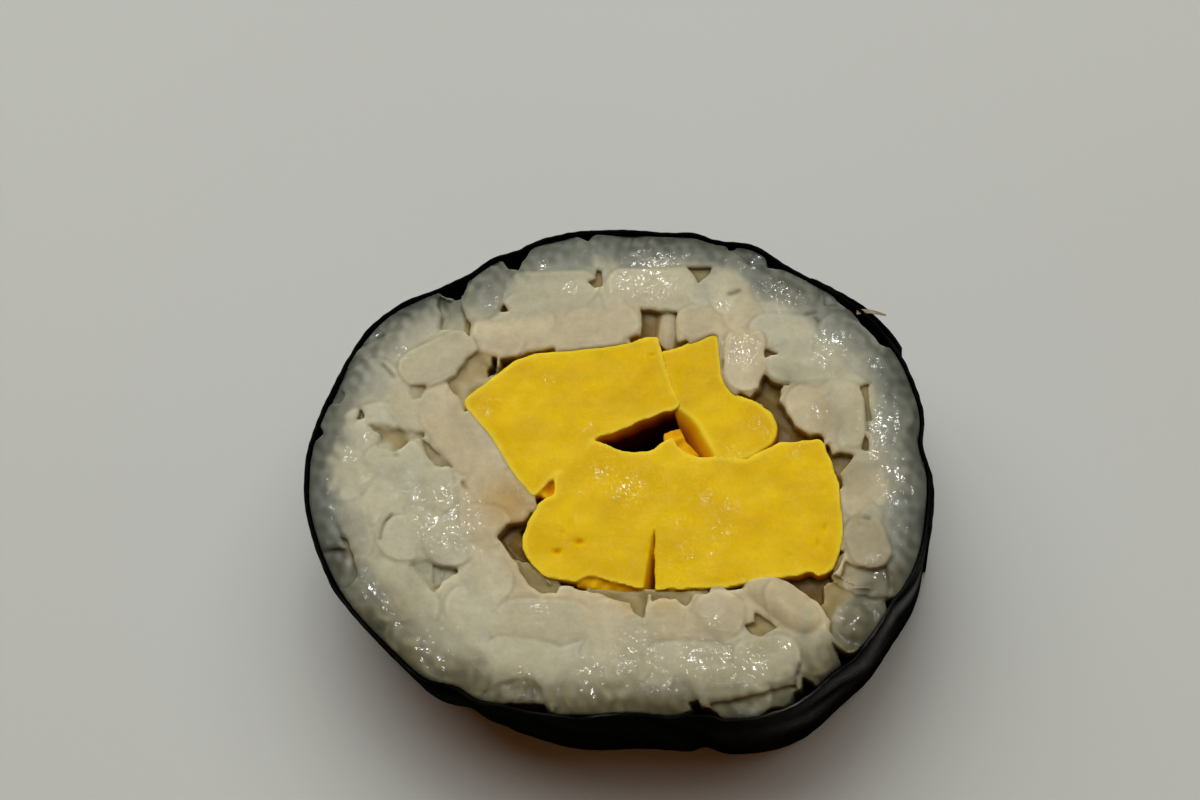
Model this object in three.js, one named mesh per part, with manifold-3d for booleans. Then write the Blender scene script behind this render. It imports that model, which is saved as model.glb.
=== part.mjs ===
// One cut slice of tamago maki, a sushi roll: a sheet of nori round packed rice,
// round three strips of rolled omelette that run right through the slice.
// Millimetres, +Z up. The slice stands on its lower cut face, at z = 0, and the origin is
// under the middle of its bounding box. The upper cut face looks up; -Y is the front.

import * as THREE from "three";
import { mergeVertices } from "three/addons/utils/BufferGeometryUtils.js";
import Module from "manifold-3d";

const wasm = await Module();
wasm.setup();

// ---- Driving dimensions --------------------------------------------------------------

const WIDTH = 46; // the roll across, on X
const DEPTH = 39; // the roll across, on Y
const HEIGHT = 13; // between the two cut faces
const LEAN = { x: 1.35, y: 1.1 }; // how far the lower face lies from under the upper one
const TAPER = 0.15; // how much less the lower face's radius is

const NORI = 0.4; // thickness of the damp sheet

// Where the sheet laps over itself: degrees round from the free edge to where the lap fades in.
const LAPS = [
  { from: 24, to: 46, thick: 0.35 },
  { from: 348, to: 360, thick: 0.2 },
];
const GAP = 0.3; // clearance between neighbouring solids
const FINEST = 0.001; // vertices nearer than this are one
const SLIVER = 0.04; // cut edges are kept to within this
const PAST = 5; // how far the solids that cut others reach past both cut faces
const RICE_GAP = 0.15; // clearance between the rice and the nori

const OMELETTE_TOP = 12.7; // the cut top of the omelette strips
const OMELETTE_EDGE = 0.45; // how far the edges of their cut ends are rounded

const CORE_TOP = 11.9; // the packed rice under the grains that show
const CORE_BOTTOM = 1.1;
const KNIFE = 0.1; // grains end flat where they pass the cut by more than this
const GRAIN = { length: 6.6, width: 3.2, swell: 0.14 }; // a cooked grain, and its variation

// Bulges and dents that the hand rolling left in the outline: [degrees round, mm out, degrees wide].
const DENTS = [
  [4, -0.5, 4],
  [29, 0.8, 18],
  [60, 0.7, 6],
  [73, 0.35, 4],
  [113, -0.45, 6],
  [129, -1.25, 11],
  [164, -0.55, 13],
  [210, 0.25, 15],
  [234, 0.85, 11],
  [236, -0.65, 4],
  [272, -0.5, 10],
  [286, -0.5, 2.5],
  [303, 1.8, 15],
  [323, 0.65, 8],
  [339, 0.6, 10],
];

// The strips of omelette in plan, each a smooth closed line, anticlockwise.
const OMELETTE = {
  omelette_upper: [
    [-11.3, 4.9], [-9.4, 2.1], [-7.9, -0.3], [-5.7, -3.0], [-4.5, -1.7], [-3.2, 0.4],
    [-1.5, 2.0], [0.6, 2.6], [2.7, 3.6], [4.5, 4.9], [4.0, 7.2], [3.1, 10.3],
    [1.2, 10.1], [-1.5, 9.6], [-5.4, 9.2], [-8.7, 7.5],
  ],
  omelette_side: [
    [5.2, 3.4], [6.3, 1.2], [8.0, 0.4], [10.2, 1.1], [11.5, 2.3], [11.4, 4.0],
    [9.6, 5.2], [8.2, 6.9], [7.7, 10.3], [5.6, 10.0], [3.7, 9.2], [4.3, 7.0], [4.8, 5.0],
  ],
  omelette_lower: [
    [-4.7, -1.9], [-5.9, -3.2], [-6.7, -5.2], [-6.5, -6.9], [-5.2, -8.5], [-3.0, -8.9],
    [-0.4, -9.1], [2.4, -9.6], [6.0, -9.5], [10.3, -9.2], [13.6, -8.6], [15.3, -8.2],
    [16.2, -6.2], [16.4, -3.6], [16.0, -0.6], [15.0, 1.9], [12.2, 1.7], [9.2, 0.5],
    [6.4, 0.7], [4.6, 2.1], [2.6, 1.2], [0.4, 1.1], [-1.4, 1.8], [-3.2, 0.3],
  ],
};

// The crack that runs into the lower strip from the front: its tip and its mouth.
const CRACK = [[2.75, -4.2], [1.95, -10.4], [2.95, -10.4]];

// The free space between the three strips, which no rice fills.
const CAVITY = [[-2.4, 1.4], [2.0, 0.2], [6.6, 0.2], [6.0, 4.0], [3.4, 6.0]];

// Grains that stand out on the upper face:
// [x, y, degrees round, length, width, height of the grain's top above the cut].
const SHOWN = [
  [-10.1, 14.1, 86, 5.3, 2.8, 0.0],
  [-5.1, 14.4, 180, 7.7, 3.1, 0.0],
  [-7.7, 10.9, 4, 6.8, 3.0, 0.1],
  [-1.6, 11.5, 3, 7.0, 3.1, 0.1],
  [-13.2, 8.5, 31, 6.1, 3.3, 0.6],
  [2.8, 14.6, 1, 7.5, 3.4, 0.1],
  [9.6, 8.6, 88, 5.8, 3.2, 0.8],
  [13.9, 8.2, 2, 5.9, 3.1, 0.1],
  [14.2, 4.2, 99, 4.9, 3.4, 0.3],
  [17.1, 4.0, 91, 5.6, 3.1, 0.2],
  [-11.7, 2.5, 125, 7.6, 3.7, 0.2],
  [-8.5, -1.9, 125, 7.2, 3.7, 0.1],
  [-15.4, -5.7, 92, 3.9, 3.7, 0.3],
  [-12.0, -6.0, 92, 4.1, 3.8, 0.4],
  [-9.6, -5.0, 172, 4.4, 3.4, 0.3],
  [-15.0, -9.9, 127, 6.3, 3.2, 0.0],
  [11.9, -10.9, 142, 6.5, 3.3, 0.9],
  [7.2, -11.5, 79, 4.0, 3.7, 0.1],
  [3.5, -11.9, 89, 4.0, 3.4, 0.1],
  [14.1, -14.6, 116, 4.6, 3.0, 0.6],
  [17.4, -11.5, 51, 4.4, 3.5, -0.9],
  [18.1, -6.0, 107, 4.6, 3.2, 0.3],
  [5.2, -15.2, 178, 7.2, 3.3, 0.1],
  [10.5, -14.8, 6, 5.2, 3.7, 0.0],
];

// ---- The outline ---------------------------------------------------------------------

const radians = THREE.MathUtils.degToRad;

// How far round, in degrees, b lies from a, from -180 to 180.
const turn = (a, b) => ((b - a + 540) % 360) - 180;

// The roll's radius, degrees round from +X, at the upper face.
function rim(degrees) {
  const c = Math.cos(radians(degrees)) / (WIDTH / 2);
  const s = Math.sin(radians(degrees)) / (DEPTH / 2);
  const dents = DENTS.map(([at, out, wide]) => out * Math.exp(-((turn(at, degrees) / wide) ** 2)));
  return 1 / Math.hypot(c, s) + dents.reduce((sum, d) => sum + d, 0);
}

// The sheet's second layer: full thickness at its free edge, fading in over the far half.
function lap(degrees) {
  const layers = LAPS.map(({ from, to, thick }) => {
    const along = turn(from, degrees) / (to - from);
    return along < 0 || along > 1 ? 0 : thick * Math.min(1, 2 * (1 - along));
  });
  return Math.max(...layers);
}

// The point at a radius, degrees round from +X.
function polar(radius, degrees) {
  return [radius * Math.cos(radians(degrees)), radius * Math.sin(radians(degrees))];
}

// A closed ring of points in plan, inset from the rim.
function ring(inset, segments, lapped = false) {
  return Array.from({ length: segments }, (_, i) => {
    const degrees = (360 * i) / segments;
    return polar(rim(degrees) - inset + (lapped ? lap(degrees) : 0), degrees);
  });
}

// Where a point of the upper face's plan lies at height z, on the leaning roll.
function leaned(x, y, z) {
  const drop = 1 - z / HEIGHT;
  const shrink = 1 - (TAPER * drop) / (WIDTH / 2);
  return [x * shrink + LEAN.x * drop, y * shrink + LEAN.y * drop];
}

// Leans every vertex of a geometry, in place.
function lean(geometry) {
  const p = geometry.getAttribute("position");
  for (let i = 0; i < p.count; i++) {
    const [x, y] = leaned(p.getX(i), p.getY(i), p.getZ(i));
    p.setXY(i, x, y);
  }
  return geometry;
}

// ---- Solids --------------------------------------------------------------------------

// A closed three.js geometry as a solid that can be joined and cut.
function solid(geometry) {
  const bare = geometry.index ? geometry.toNonIndexed() : geometry.clone();
  bare.deleteAttribute("normal");
  bare.deleteAttribute("uv");
  const merged = mergeVertices(bare, FINEST);
  return new wasm.Manifold(
    new wasm.Mesh({
      numProp: 3,
      vertProperties: merged.attributes.position.array,
      triVerts: new Uint32Array(merged.index.array),
    }),
  );
}

// A solid's surface as a geometry.
function surface(made) {
  const { vertProperties, triVerts } = made.getMesh();
  const geometry = new THREE.BufferGeometry();
  geometry.setAttribute("position", new THREE.BufferAttribute(vertProperties, 3));
  return geometry.setIndex(new THREE.BufferAttribute(triVerts, 1));
}

const largest = (made) => made.decompose().sort((a, b) => b.volume() - a.volume())[0];

// The solid's one body as a named mesh, without the slivers that cutting leaves.
function meshOf(name, made, material) {
  const whole = largest(solid(surface(largest(made.simplify(SLIVER)))));
  const geometry = surface(whole);
  geometry.computeVertexNormals();
  const mesh = new THREE.Mesh(geometry, material);
  mesh.name = name;
  return mesh;
}

// A plan outline carried from one height to another, leaning with the roll.
function prism(points, low, high) {
  const shape = new THREE.Shape(points.map(([x, y]) => new THREE.Vector2(x, y)));
  const geometry = new THREE.ExtrudeGeometry(shape, { depth: high - low, bevelEnabled: false });
  return solid(lean(geometry.translate(0, 0, low)));
}

// A plan outline carried right through the slice and past it, to cut others with.
const cutter = (points) => prism(points, -PAST, HEIGHT + PAST);

// A closed curve through the points, as many points along it as asked.
function smooth(points, count) {
  const through = points.map(([x, y]) => new THREE.Vector3(x, y, 0));
  const curve = new THREE.CatmullRomCurve3(through, true, "catmullrom", 0.5);
  return curve.getSpacedPoints(count).slice(0, count).map((p) => [p.x, p.y]);
}

// The outline moved outwards by a distance, for an anticlockwise line.
function grown(points, distance) {
  return points.map(([x, y], i) => {
    const [ax, ay] = points[(i + points.length - 1) % points.length];
    const [bx, by] = points[(i + 1) % points.length];
    const step = distance / Math.hypot(bx - ax, by - ay);
    return [x + (by - ay) * step, y - (bx - ax) * step];
  });
}

// ---- Nori ----------------------------------------------------------------------------

const NORI_SEGMENTS = 120;

function nori() {
  const whole = prism(ring(0, NORI_SEGMENTS, true), 0, HEIGHT);
  return whole.subtract(cutter(ring(NORI, NORI_SEGMENTS)));
}

// ---- Omelette ------------------------------------------------------------------------

const STRIP_POINTS = 40;

const plans = Object.fromEntries(
  Object.entries(OMELETTE).map(([name, points]) => [name, smooth(points, STRIP_POINTS)]),
);

// One strip, right through the slice, with the edges of its cut ends rounded.
function strip(plan) {
  const shape = new THREE.Shape(plan.map(([x, y]) => new THREE.Vector2(x, y)));
  const geometry = new THREE.ExtrudeGeometry(shape, {
    depth: OMELETTE_TOP - 2 * OMELETTE_EDGE,
    bevelThickness: OMELETTE_EDGE,
    bevelSize: OMELETTE_EDGE,
    bevelOffset: -OMELETTE_EDGE,
    bevelSegments: 2,
  });
  return solid(lean(geometry.translate(0, 0, OMELETTE_EDGE)));
}

const strips = Object.fromEntries(Object.entries(plans).map(([name, plan]) => [name, strip(plan)]));
const room = (name) => cutter(grown(plans[name], GAP));
strips.omelette_side = strips.omelette_side.subtract(room("omelette_upper"));
strips.omelette_lower = strips.omelette_lower
  .subtract(room("omelette_upper"))
  .subtract(room("omelette_side"))
  .subtract(cutter(CRACK));

// The omelette's room in the rice, with no island of rice in its middle.
const pocket = Object.keys(plans).reduce((sum, name) => sum.add(room(name)), cutter(CAVITY));

// ---- Rice ----------------------------------------------------------------------------

// The same run of numbers from 0 to 1 every time.
function draws(seed) {
  let state = seed;
  return () => (state = (state * 16807) % 2147483647) / 2147483647;
}

// How far the point (x, y) lies from the line between two others.
function fromLine(x, y, [ax, ay], [bx, by]) {
  const square = (bx - ax) ** 2 + (by - ay) ** 2 || 1;
  const t = THREE.MathUtils.clamp(((x - ax) * (bx - ax) + (y - ay) * (by - ay)) / square, 0, 1);
  return Math.hypot(x - ax - t * (bx - ax), y - ay - t * (by - ay));
}

// The ends of a lying grain's middle line.
function ends({ x, y, turned, length, width }) {
  const [dx, dy] = polar(Math.max(0, length - width) / 2, turned);
  return [[x - dx, y - dy], [x + dx, y + dy]];
}

// The distance in plan between two lying grains, taken along their middle lines.
function apart(a, b) {
  const nearest = (p, q) => [...ends(p), [p.x, p.y]].map(([x, y]) => fromLine(x, y, ...ends(q)));
  return Math.min(...nearest(a, b), ...nearest(b, a));
}

// True if the point lies in the plan, or within a distance of its line.
function within(plan, x, y, distance) {
  let inside = false;
  plan.forEach(([ax, ay], i) => {
    const [bx, by] = plan[(i + 1) % plan.length];
    if (ay > y !== by > y && x < ax + ((bx - ax) * (y - ay)) / (by - ay)) inside = !inside;
  });
  return inside || plan.some((a, i) => fromLine(x, y, a, plan[(i + 1) % plan.length]) < distance);
}

const ROWS = 5; // rows of grains from the nori inwards
const ROW_INSET = 1.75; // the outermost row's middle, from the rim
const ROW_PITCH = 3.0; // from row to row
const CLOSEST = 2.2; // how near the middle lines of two grains may come
const OMELETTE_CLOSEST = 0.9; // how near a grain's middle may come to the omelette
const FILL_TRIES = 3000; // draws that look for a place left bare

const END_ON = 0.3; // share of the inner grains that stand end on, as they were packed

// The grains that show on one cut face: those given, rows that follow the nori round, then bare places.
function grainsOf(given, seed) {
  const draw = draws(seed);
  const between = (low, high) => low + (high - low) * draw();
  const grains = [...given];
  const place = ([x, y], turned, endOn) => {
    const length = endOn ? GRAIN.width * between(1.05, 1.3) : GRAIN.length * between(0.8, 1.15);
    const width = GRAIN.width * between(1 - GRAIN.swell, 1 + GRAIN.swell);
    const grain = { x, y, turned, length, width, proud: between(-0.45, 0.25), pitch: between(-8, 8) };
    const bare = grains.every((other) => apart(other, grain) > CLOSEST);
    const clear = Object.values(plans).every((plan) => !within(plan, x, y, OMELETTE_CLOSEST));
    if (bare && clear) grains.push(grain);
  };
  for (let row = 0; row < ROWS; row++) {
    const start = between(0, 20);
    let degrees = start;
    while (degrees < start + 360) {
      const radius = rim(degrees) - ROW_INSET - row * ROW_PITCH + (row ? between(-0.4, 0.4) : 0);
      const slant = row ? between(-60, 60) : between(-9, 9);
      place(polar(radius, degrees), degrees + 90 + slant, row > 0 && draw() < END_ON);
      degrees += (between(3.6, 5.2) / radius) * THREE.MathUtils.RAD2DEG;
    }
  }
  for (let k = 0; k < FILL_TRIES; k++) {
    const degrees = between(0, 360);
    const radius = (rim(degrees) - ROW_INSET) * Math.sqrt(between(0.05, 1));
    place(polar(radius, degrees), between(0, 180), draw() < 0.5);
  }
  return grains;
}

// A cooked grain: a capsule with six sides, one of them up, its middle at the given height.
function grainSolid(grain, z) {
  const straight = Math.max(0.3, grain.length - grain.width);
  const capsule = new THREE.CapsuleGeometry(grain.width / 2, straight, 2, 6);
  capsule.rotateY(radians(30));
  capsule.rotateX(radians(grain.pitch));
  capsule.rotateZ(radians(grain.turned - 90));
  const [x, y] = leaned(grain.x, grain.y, z);
  return solid(capsule.translate(x, y, z));
}

// From a six-sided grain's middle to the flat of its upper side.
const rise = (grain) => (grain.width / 2) * Math.cos(radians(30));

const CORE_SEGMENTS = 48;
const UPPER_SEED = 11;
const LOWER_SEED = 29;
const LEVEL = 0.3; // grains that stand higher than this above the cut weren't met by the knife

function rice() {
  const shown = SHOWN.map(([x, y, turned, length, width, proud]) => (
    { x, y, turned, length, width, proud, pitch: 0 }));
  const top = (grain) => grainSolid(grain, HEIGHT + grain.proud - rise(grain));
  const bottom = (grain) => grainSolid(grain, rise(grain) - grain.proud);
  const upper = grainsOf(shown, UPPER_SEED);
  const level = upper.filter((grain) => grain.proud <= LEVEL).map(top);
  const standing = upper.filter((grain) => grain.proud > LEVEL).map(top);
  const lower = grainsOf([], LOWER_SEED).map(bottom);
  const core = prism(ring(NORI + RICE_GAP, CORE_SEGMENTS), CORE_BOTTOM, CORE_TOP);
  const between = prism(ring(-PAST, CORE_SEGMENTS), 0, HEIGHT + KNIFE);
  const cut = wasm.Manifold.union([core, ...level, ...lower]).intersect(between);
  const fit = cutter(ring(NORI + RICE_GAP, NORI_SEGMENTS));
  return wasm.Manifold.union([cut, ...standing]).intersect(fit).subtract(pocket);
}

// ---- The slice -----------------------------------------------------------------------

const finish = (color, roughness) => new THREE.MeshStandardMaterial({ color, roughness, metalness: 0 });
const noriFinish = finish(0x0c0e0d, 0.45);
const omeletteFinish = finish(0xd9ac1c, 0.5);
const riceFinish = finish(0xcfcabb, 0.35);

const slice = new THREE.Group();
slice.add(meshOf("nori", nori(), noriFinish));
slice.add(meshOf("rice", rice(), riceFinish));
for (const [name, made] of Object.entries(strips)) slice.add(meshOf(name, made, omeletteFinish));

// The origin goes under the middle of the bounding box, which the nori sets.
const middle = new THREE.Box3().setFromObject(slice).getCenter(new THREE.Vector3());
slice.position.set(-middle.x, -middle.y, 0);

export default slice;
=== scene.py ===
"""The looks of one tamago maki slice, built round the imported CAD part.

Shapes are worked out in millimetres in a straight frame: the origin is under the middle of
the roll's upper outline, and the cut faces are z = 0 and z = HEIGHT. stand() then leans the
points as the CAD solids lean, moves them to the part's frame and turns them into metres.
Rice and omelette are distance fields (negative inside) on a grid, skinned by surface nets.
A closed ring of corners is written flat, as x,y, x,y and so on.
"""

import math
from collections import namedtuple

import bmesh
import bpy
import numpy as np
from mathutils import Matrix


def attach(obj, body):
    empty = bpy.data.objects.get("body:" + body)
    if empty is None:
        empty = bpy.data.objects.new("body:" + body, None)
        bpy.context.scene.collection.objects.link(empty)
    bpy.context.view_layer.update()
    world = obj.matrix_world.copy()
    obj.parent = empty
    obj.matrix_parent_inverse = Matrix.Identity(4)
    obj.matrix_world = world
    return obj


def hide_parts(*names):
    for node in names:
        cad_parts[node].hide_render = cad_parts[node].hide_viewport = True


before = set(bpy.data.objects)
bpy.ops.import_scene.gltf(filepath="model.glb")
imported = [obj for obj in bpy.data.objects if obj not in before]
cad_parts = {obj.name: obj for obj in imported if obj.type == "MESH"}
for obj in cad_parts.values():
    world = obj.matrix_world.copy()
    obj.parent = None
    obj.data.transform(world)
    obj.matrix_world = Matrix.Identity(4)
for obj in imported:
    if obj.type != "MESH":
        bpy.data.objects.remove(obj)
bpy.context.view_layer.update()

# ---- Driving dimensions, as in the part's source (mm, degrees) ----

WIDTH, DEPTH, HEIGHT = 46.0, 39.0, 13.0
LEAN = (1.35, 1.1)  # how far the lower face lies from under the upper one
TAPER = 0.15  # how much less the lower face's radius is
MIDDLE = (-0.7013, -0.5326)  # moves the outline's middle to the part's frame

# Bulges and dents of the rolled outline: degrees round, mm out, degrees wide.
DENTS = [
    (4, -0.5, 4), (29, 0.8, 18), (60, 0.7, 6), (73, 0.35, 4), (113, -0.45, 6), (129, -1.25, 11),
    (164, -0.55, 13), (210, 0.25, 15), (234, 0.85, 11), (236, -0.65, 4), (272, -0.5, 10),
    (286, -0.5, 2.5), (303, 1.8, 15), (323, 0.65, 8), (339, 0.6, 10),
]  # fmt: skip
# Where the sheet laps over itself: degrees from the free edge to where the lap fades, mm.
LAPS = [(24, 46, 0.35), (348, 360, 0.2)]
# Where the lower edge is drawn in: degrees round, degrees wide, mm in, mm up.
TUCK = (231, 17, 1.1, 7)
SHEET = 0.26  # the damp nori as it shows at the cut
RICE_GAP = 0.08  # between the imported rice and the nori

# ---- The grids that the fields are worked out on ----

STEP = 0.15
XS = np.arange(-23.7, 24.15, STEP)
YS = np.arange(-20.25, 20.85, STEP)
X, Y = np.meshgrid(XS, YS, indexing="ij")
RICE_LEVELS = np.concatenate([[6.5, 8.6], np.arange(9.9, 14.35, STEP)])
EGG_LEVELS = np.concatenate(
    [np.arange(-0.3, 1.55, STEP), [3.5, 6.5, 9.0], np.arange(9.9, 13.5, STEP)]
)
RICE_Z = RICE_LEVELS[None, None, :]
EGG_Z = EGG_LEVELS[None, None, :]

Grain = namedtuple("Grain", "x y deg length width top bend")


# ---- Small maths ----


def smax(a, b, soft):
    """The larger of a and b, with the crease between them rounded."""
    mix = np.clip(0.5 + 0.5 * (a - b) / soft, 0, 1)
    return b + (a - b) * mix + soft * mix * (1 - mix)


def smin(a, b, soft):
    return -smax(-a, -b, soft)


def fade(a, b, value):
    """0 at a, 1 at b, smooth between."""
    t = np.clip((value - a) / (b - a), 0, 1)
    return t * t * (3 - 2 * t)


def bell(value, wide):
    return np.exp(-((value / wide) ** 2))


def waves(x, y, size, seed, count=14):
    """Smooth seeded noise in plan, about -1 to 1, whose swells are about size mm apart."""
    rng = np.random.default_rng(seed)
    total = np.zeros(np.shape(x))
    for _ in range(count):
        way = rng.uniform(0, 2 * math.pi)
        rate = 2 * math.pi / (size * rng.uniform(0.7, 1.6))
        phase = rng.uniform(0, 2 * math.pi)
        total += np.sin((x * math.cos(way) + y * math.sin(way)) * rate + phase)
    return total / math.sqrt(count)


def turned(x, y, deg):
    """x and y seen from axes turned by deg."""
    c, s = math.cos(math.radians(deg)), math.sin(math.radians(deg))
    return x * c + y * s, y * c - x * s


def half_turn(deg):
    """The same direction as an angle between -180 and 180."""
    return (deg + 180) % 360 - 180


def rim_radius(deg):
    """Radius of the nori's outer outline."""
    turn = np.radians(deg)
    radius = 1 / np.hypot(np.cos(turn) / (WIDTH / 2), np.sin(turn) / (DEPTH / 2))
    for where, out, wide in DENTS:
        radius = radius + out * bell(half_turn(deg - where), wide)
    return radius


def tuck(deg, z):
    """How far the sheet's lower part is drawn in where the roll bends under."""
    where, wide, much, high = TUCK
    return much * bell(half_turn(deg - where), wide) * fade(high, 0, z)


def smooth_ring(corners, parts=4):
    """A closed Catmull-Rom curve through the corners."""
    p = np.array(corners, float).reshape(-1, 2)
    a, b, c, d = np.roll(p, 1, 0), p, np.roll(p, -1, 0), np.roll(p, -2, 0)
    rows = []
    for t in np.arange(parts) / parts:
        curve = 2 * b + (c - a) * t + (2 * a - 5 * b + 4 * c - d) * t**2
        rows.append((curve + (3 * b - a - 3 * c + d) * t**3) / 2)
    return np.stack(rows, 1).reshape(-1, 2)


def plan(corners):
    """Signed distance in plan to a closed ring of corners, over the whole grid."""
    p = np.array(corners, float).reshape(-1, 2)
    x, y = X, Y
    near = np.full(x.shape, np.inf)
    inside = np.zeros(x.shape, bool)
    for (ax, ay), (bx, by) in zip(p, np.roll(p, -1, 0)):
        ex, ey = bx - ax, by - ay
        t = np.clip(((x - ax) * ex + (y - ay) * ey) / (ex * ex + ey * ey + 1e-12), 0, 1)
        near = np.minimum(near, (x - ax - ex * t) ** 2 + (y - ay - ey * t) ** 2)
        crosses = (ay > y) != (by > y)
        where = ax + (y - ay) * ex / (ey if abs(ey) > 1e-9 else 1e-9)
        inside ^= crosses & (x < where)
    return np.where(inside, -1, 1) * np.sqrt(near)


def at(field, x, y):
    """A plan field's values at points, linear between its samples."""
    i = np.clip((x - XS[0]) / STEP, 0, len(XS) - 1.001)
    j = np.clip((y - YS[0]) / STEP, 0, len(YS) - 1.001)
    i0, j0 = i.astype(int), j.astype(int)
    u, v = i - i0, j - j0
    left = field[i0, j0] * (1 - v) + field[i0, j0 + 1] * v
    right = field[i0 + 1, j0] * (1 - v) + field[i0 + 1, j0 + 1] * v
    return left * (1 - u) + right * u


def srgb(red, green, blue):
    """A display colour (0 to 255) as linear light."""
    c = np.array([red, green, blue]) / 255
    return np.where(c <= 0.04045, c / 12.92, ((c + 0.055) / 1.055) ** 2.4)


# ---- From a field to a mesh ----


def skin(field, xs, ys, zs):
    """Surface nets: points (mm) and outward quads of the field's zero level."""
    inside = field < 0
    count = np.zeros(np.array(field.shape) - 1, np.int8)
    corners = [(i, j, k) for i in (0, 1) for j in (0, 1) for k in (0, 1)]
    nx, ny, nz = count.shape
    for i, j, k in corners:
        count += inside[i : i + nx, j : j + ny, k : k + nz]
    cell = np.argwhere((count > 0) & (count < 8))
    total = np.zeros((len(cell), 3))
    hits = np.zeros(len(cell))
    for corner in corners:
        for axis in range(3):
            if corner[axis]:
                continue
            end = tuple(c + (n == axis) for n, c in enumerate(corner))
            a = field[tuple((cell + corner).T)]
            b = field[tuple((cell + end).T)]
            cuts = (a < 0) != (b < 0)
            t = np.where(cuts, a / np.where(cuts, a - b, 1), 0)
            spot = np.array(corner, float) + np.outer(t, np.eye(3)[axis])
            total += spot * cuts[:, None]
            hits += cuts
    spot = cell + total / hits[:, None]
    grids = enumerate((xs, ys, zs))
    points = np.stack([np.interp(spot[:, n], np.arange(len(g)), g) for n, g in grids], 1)
    number = np.full(count.shape, -1)
    number[tuple(cell.T)] = np.arange(len(cell))
    quads = [side_quads(inside, number, axis) for axis in range(3)]
    return points, np.concatenate(quads)


def side_quads(inside, number, axis):
    """The quads across the grid edges that run along one axis."""
    b, c = (axis + 1) % 3, (axis + 2) % 3
    low = np.moveaxis(inside, (axis, b, c), (0, 1, 2))
    cells = np.moveaxis(number, (axis, b, c), (0, 1, 2))
    cuts = low[:-1, 1:-1, 1:-1] != low[1:, 1:-1, 1:-1]
    i, j, k = np.argwhere(cuts).T
    ring = [cells[i, j, k], cells[i, j + 1, k], cells[i, j + 1, k + 1], cells[i, j, k + 1]]
    quads = np.stack(ring, 1)
    back = ~low[i, j + 1, k + 1]
    quads[back] = quads[back][:, ::-1]
    return quads


def stand(points):
    """Points of the straight frame in the part's frame: leaned, moved and in metres."""
    x, y, z = np.asarray(points, float).T
    drop = 1 - z / HEIGHT
    shrink = 1 - TAPER * drop / (WIDTH / 2)
    x = x * shrink + LEAN[0] * drop + MIDDLE[0]
    y = y * shrink + LEAN[1] * drop + MIDDLE[1]
    return np.stack([x, y, z], 1) / 1000


def add_piece(name, points, faces, material, colour, slot, *nodes, sharp=55):
    """A mesh from points in the straight frame that stands for the named solids."""
    mesh = bpy.data.meshes.new(name)
    mesh.from_pydata(stand(points).tolist(), [], [list(map(int, f)) for f in faces])
    mesh.shade_smooth()
    mesh.set_sharp_from_angle(angle=math.radians(sharp))
    layer = mesh.color_attributes.new("tint", "FLOAT_COLOR", "POINT")
    layer.data.foreach_set("color", colour.astype(np.float32).ravel())
    mesh.materials.append(material)
    piece = bpy.data.objects.new(name, mesh)
    bpy.context.scene.collection.objects.link(piece)
    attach(piece, "root")
    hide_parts(*nodes)


def close_below(points, quads):
    """Brings the open lower edge to one level and closes it with a flat face of triangles."""
    bm = bmesh.new()
    verts = [bm.verts.new(p) for p in points]
    for q in quads:
        bm.faces.new([verts[n] for n in q])
    edges = [e for e in bm.edges if e.is_boundary]
    floor = RICE_LEVELS[0]
    for e in edges:
        for v in e.verts:
            v.co.z = floor
    made = bmesh.ops.triangle_fill(bm, use_beauty=False, use_dissolve=False, edges=edges)
    lid = [f for f in made["geom"] if isinstance(f, bmesh.types.BMFace)]
    for f in lid:
        f.normal_update()
        if f.normal.z > 0:
            f.normal_flip()
    bm.verts.index_update()
    points = np.array([v.co[:] for v in bm.verts])
    faces = [[v.index for v in f.verts] for f in bm.faces]
    bm.free()
    return points, faces


# ---- Where things lie on the upper cut face ----

# fmt: off
# The omelette strips' outlines at the cut.
EGG_UPPER = [
    -11.3,4.9, -10.2,6.2, -8.7,7.5, -7.2,8.6, -5.4,9.1, -3.2,9.35, -1.2,9.6, 0.6,9.9, 1.8,10.3,
    3,10.4, 3.4,9.2, 3.9,7.2, 4.3,6, 4.7,4.8, 3.5,4.2, 2,3.6, 0,2.6, -1.6,2, -2.3,0.4, -3.4,-0.9,
    -4.4,-0.75, -5.95,-2.4, -6.7,-1.8, -7.8,-0.4, -9.3,2.2,
]
EGG_SIDE = [
    3,9.1, 4,9.45, 5,9.8, 6.2,10.2, 7,10.6, 7.6,10.5, 7.75,9, 7.9,7.3, 8.3,6.3, 9,5.6, 9.9,5.3,
    10.6,4.9, 11.3,4.3, 11.8,3.4, 11.85,2.7, 11.5,1.9, 10.9,1.4, 10.1,0.9, 9.3,0.45, 8.4,0.2,
    7.5,0.4, 6.6,2, 6,3.2, 5.3,4, 4.5,4.7, 4,6, 3.5,7.2,
]
EGG_LOWER = [
    -4.6,-1, -4.3,-0.4, -3.5,0.6, -2.6,1.4, -1.6,2, -0.6,1.6, 0.4,1.2, 1.4,1.1, 2.5,1.2, 3.2,1.7,
    3.7,2.05, 4.1,2.1, 4.5,1.5, 5,1, 5.8,0.7, 6.8,0.6, 7.6,0.7, 9.3,0.45, 10,0.75, 11.3,1.45,
    12.2,1.85, 13.9,2, 15,2.1, 15.6,0.8, 16.2,-1.2, 16.4,-3.6, 16.4,-5.5, 15.9,-7.4, 15.3,-8.3,
    14.4,-8.6, 13.8,-8.35, 12.8,-8.6, 10.3,-8.9, 8,-9.4, 6,-9.5, 2.9,-9.65, 1.9,-9.6, 0.2,-9.2,
    -1.2,-8.85, -2.1,-8.7, -2.9,-9.05, -4,-8.9, -5.1,-8.6, -6.2,-7.6, -6.8,-6.3, -6.6,-5, -5.8,-3.2,
    -5.1,-2.5, -4.6,-2.3,
]
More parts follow.
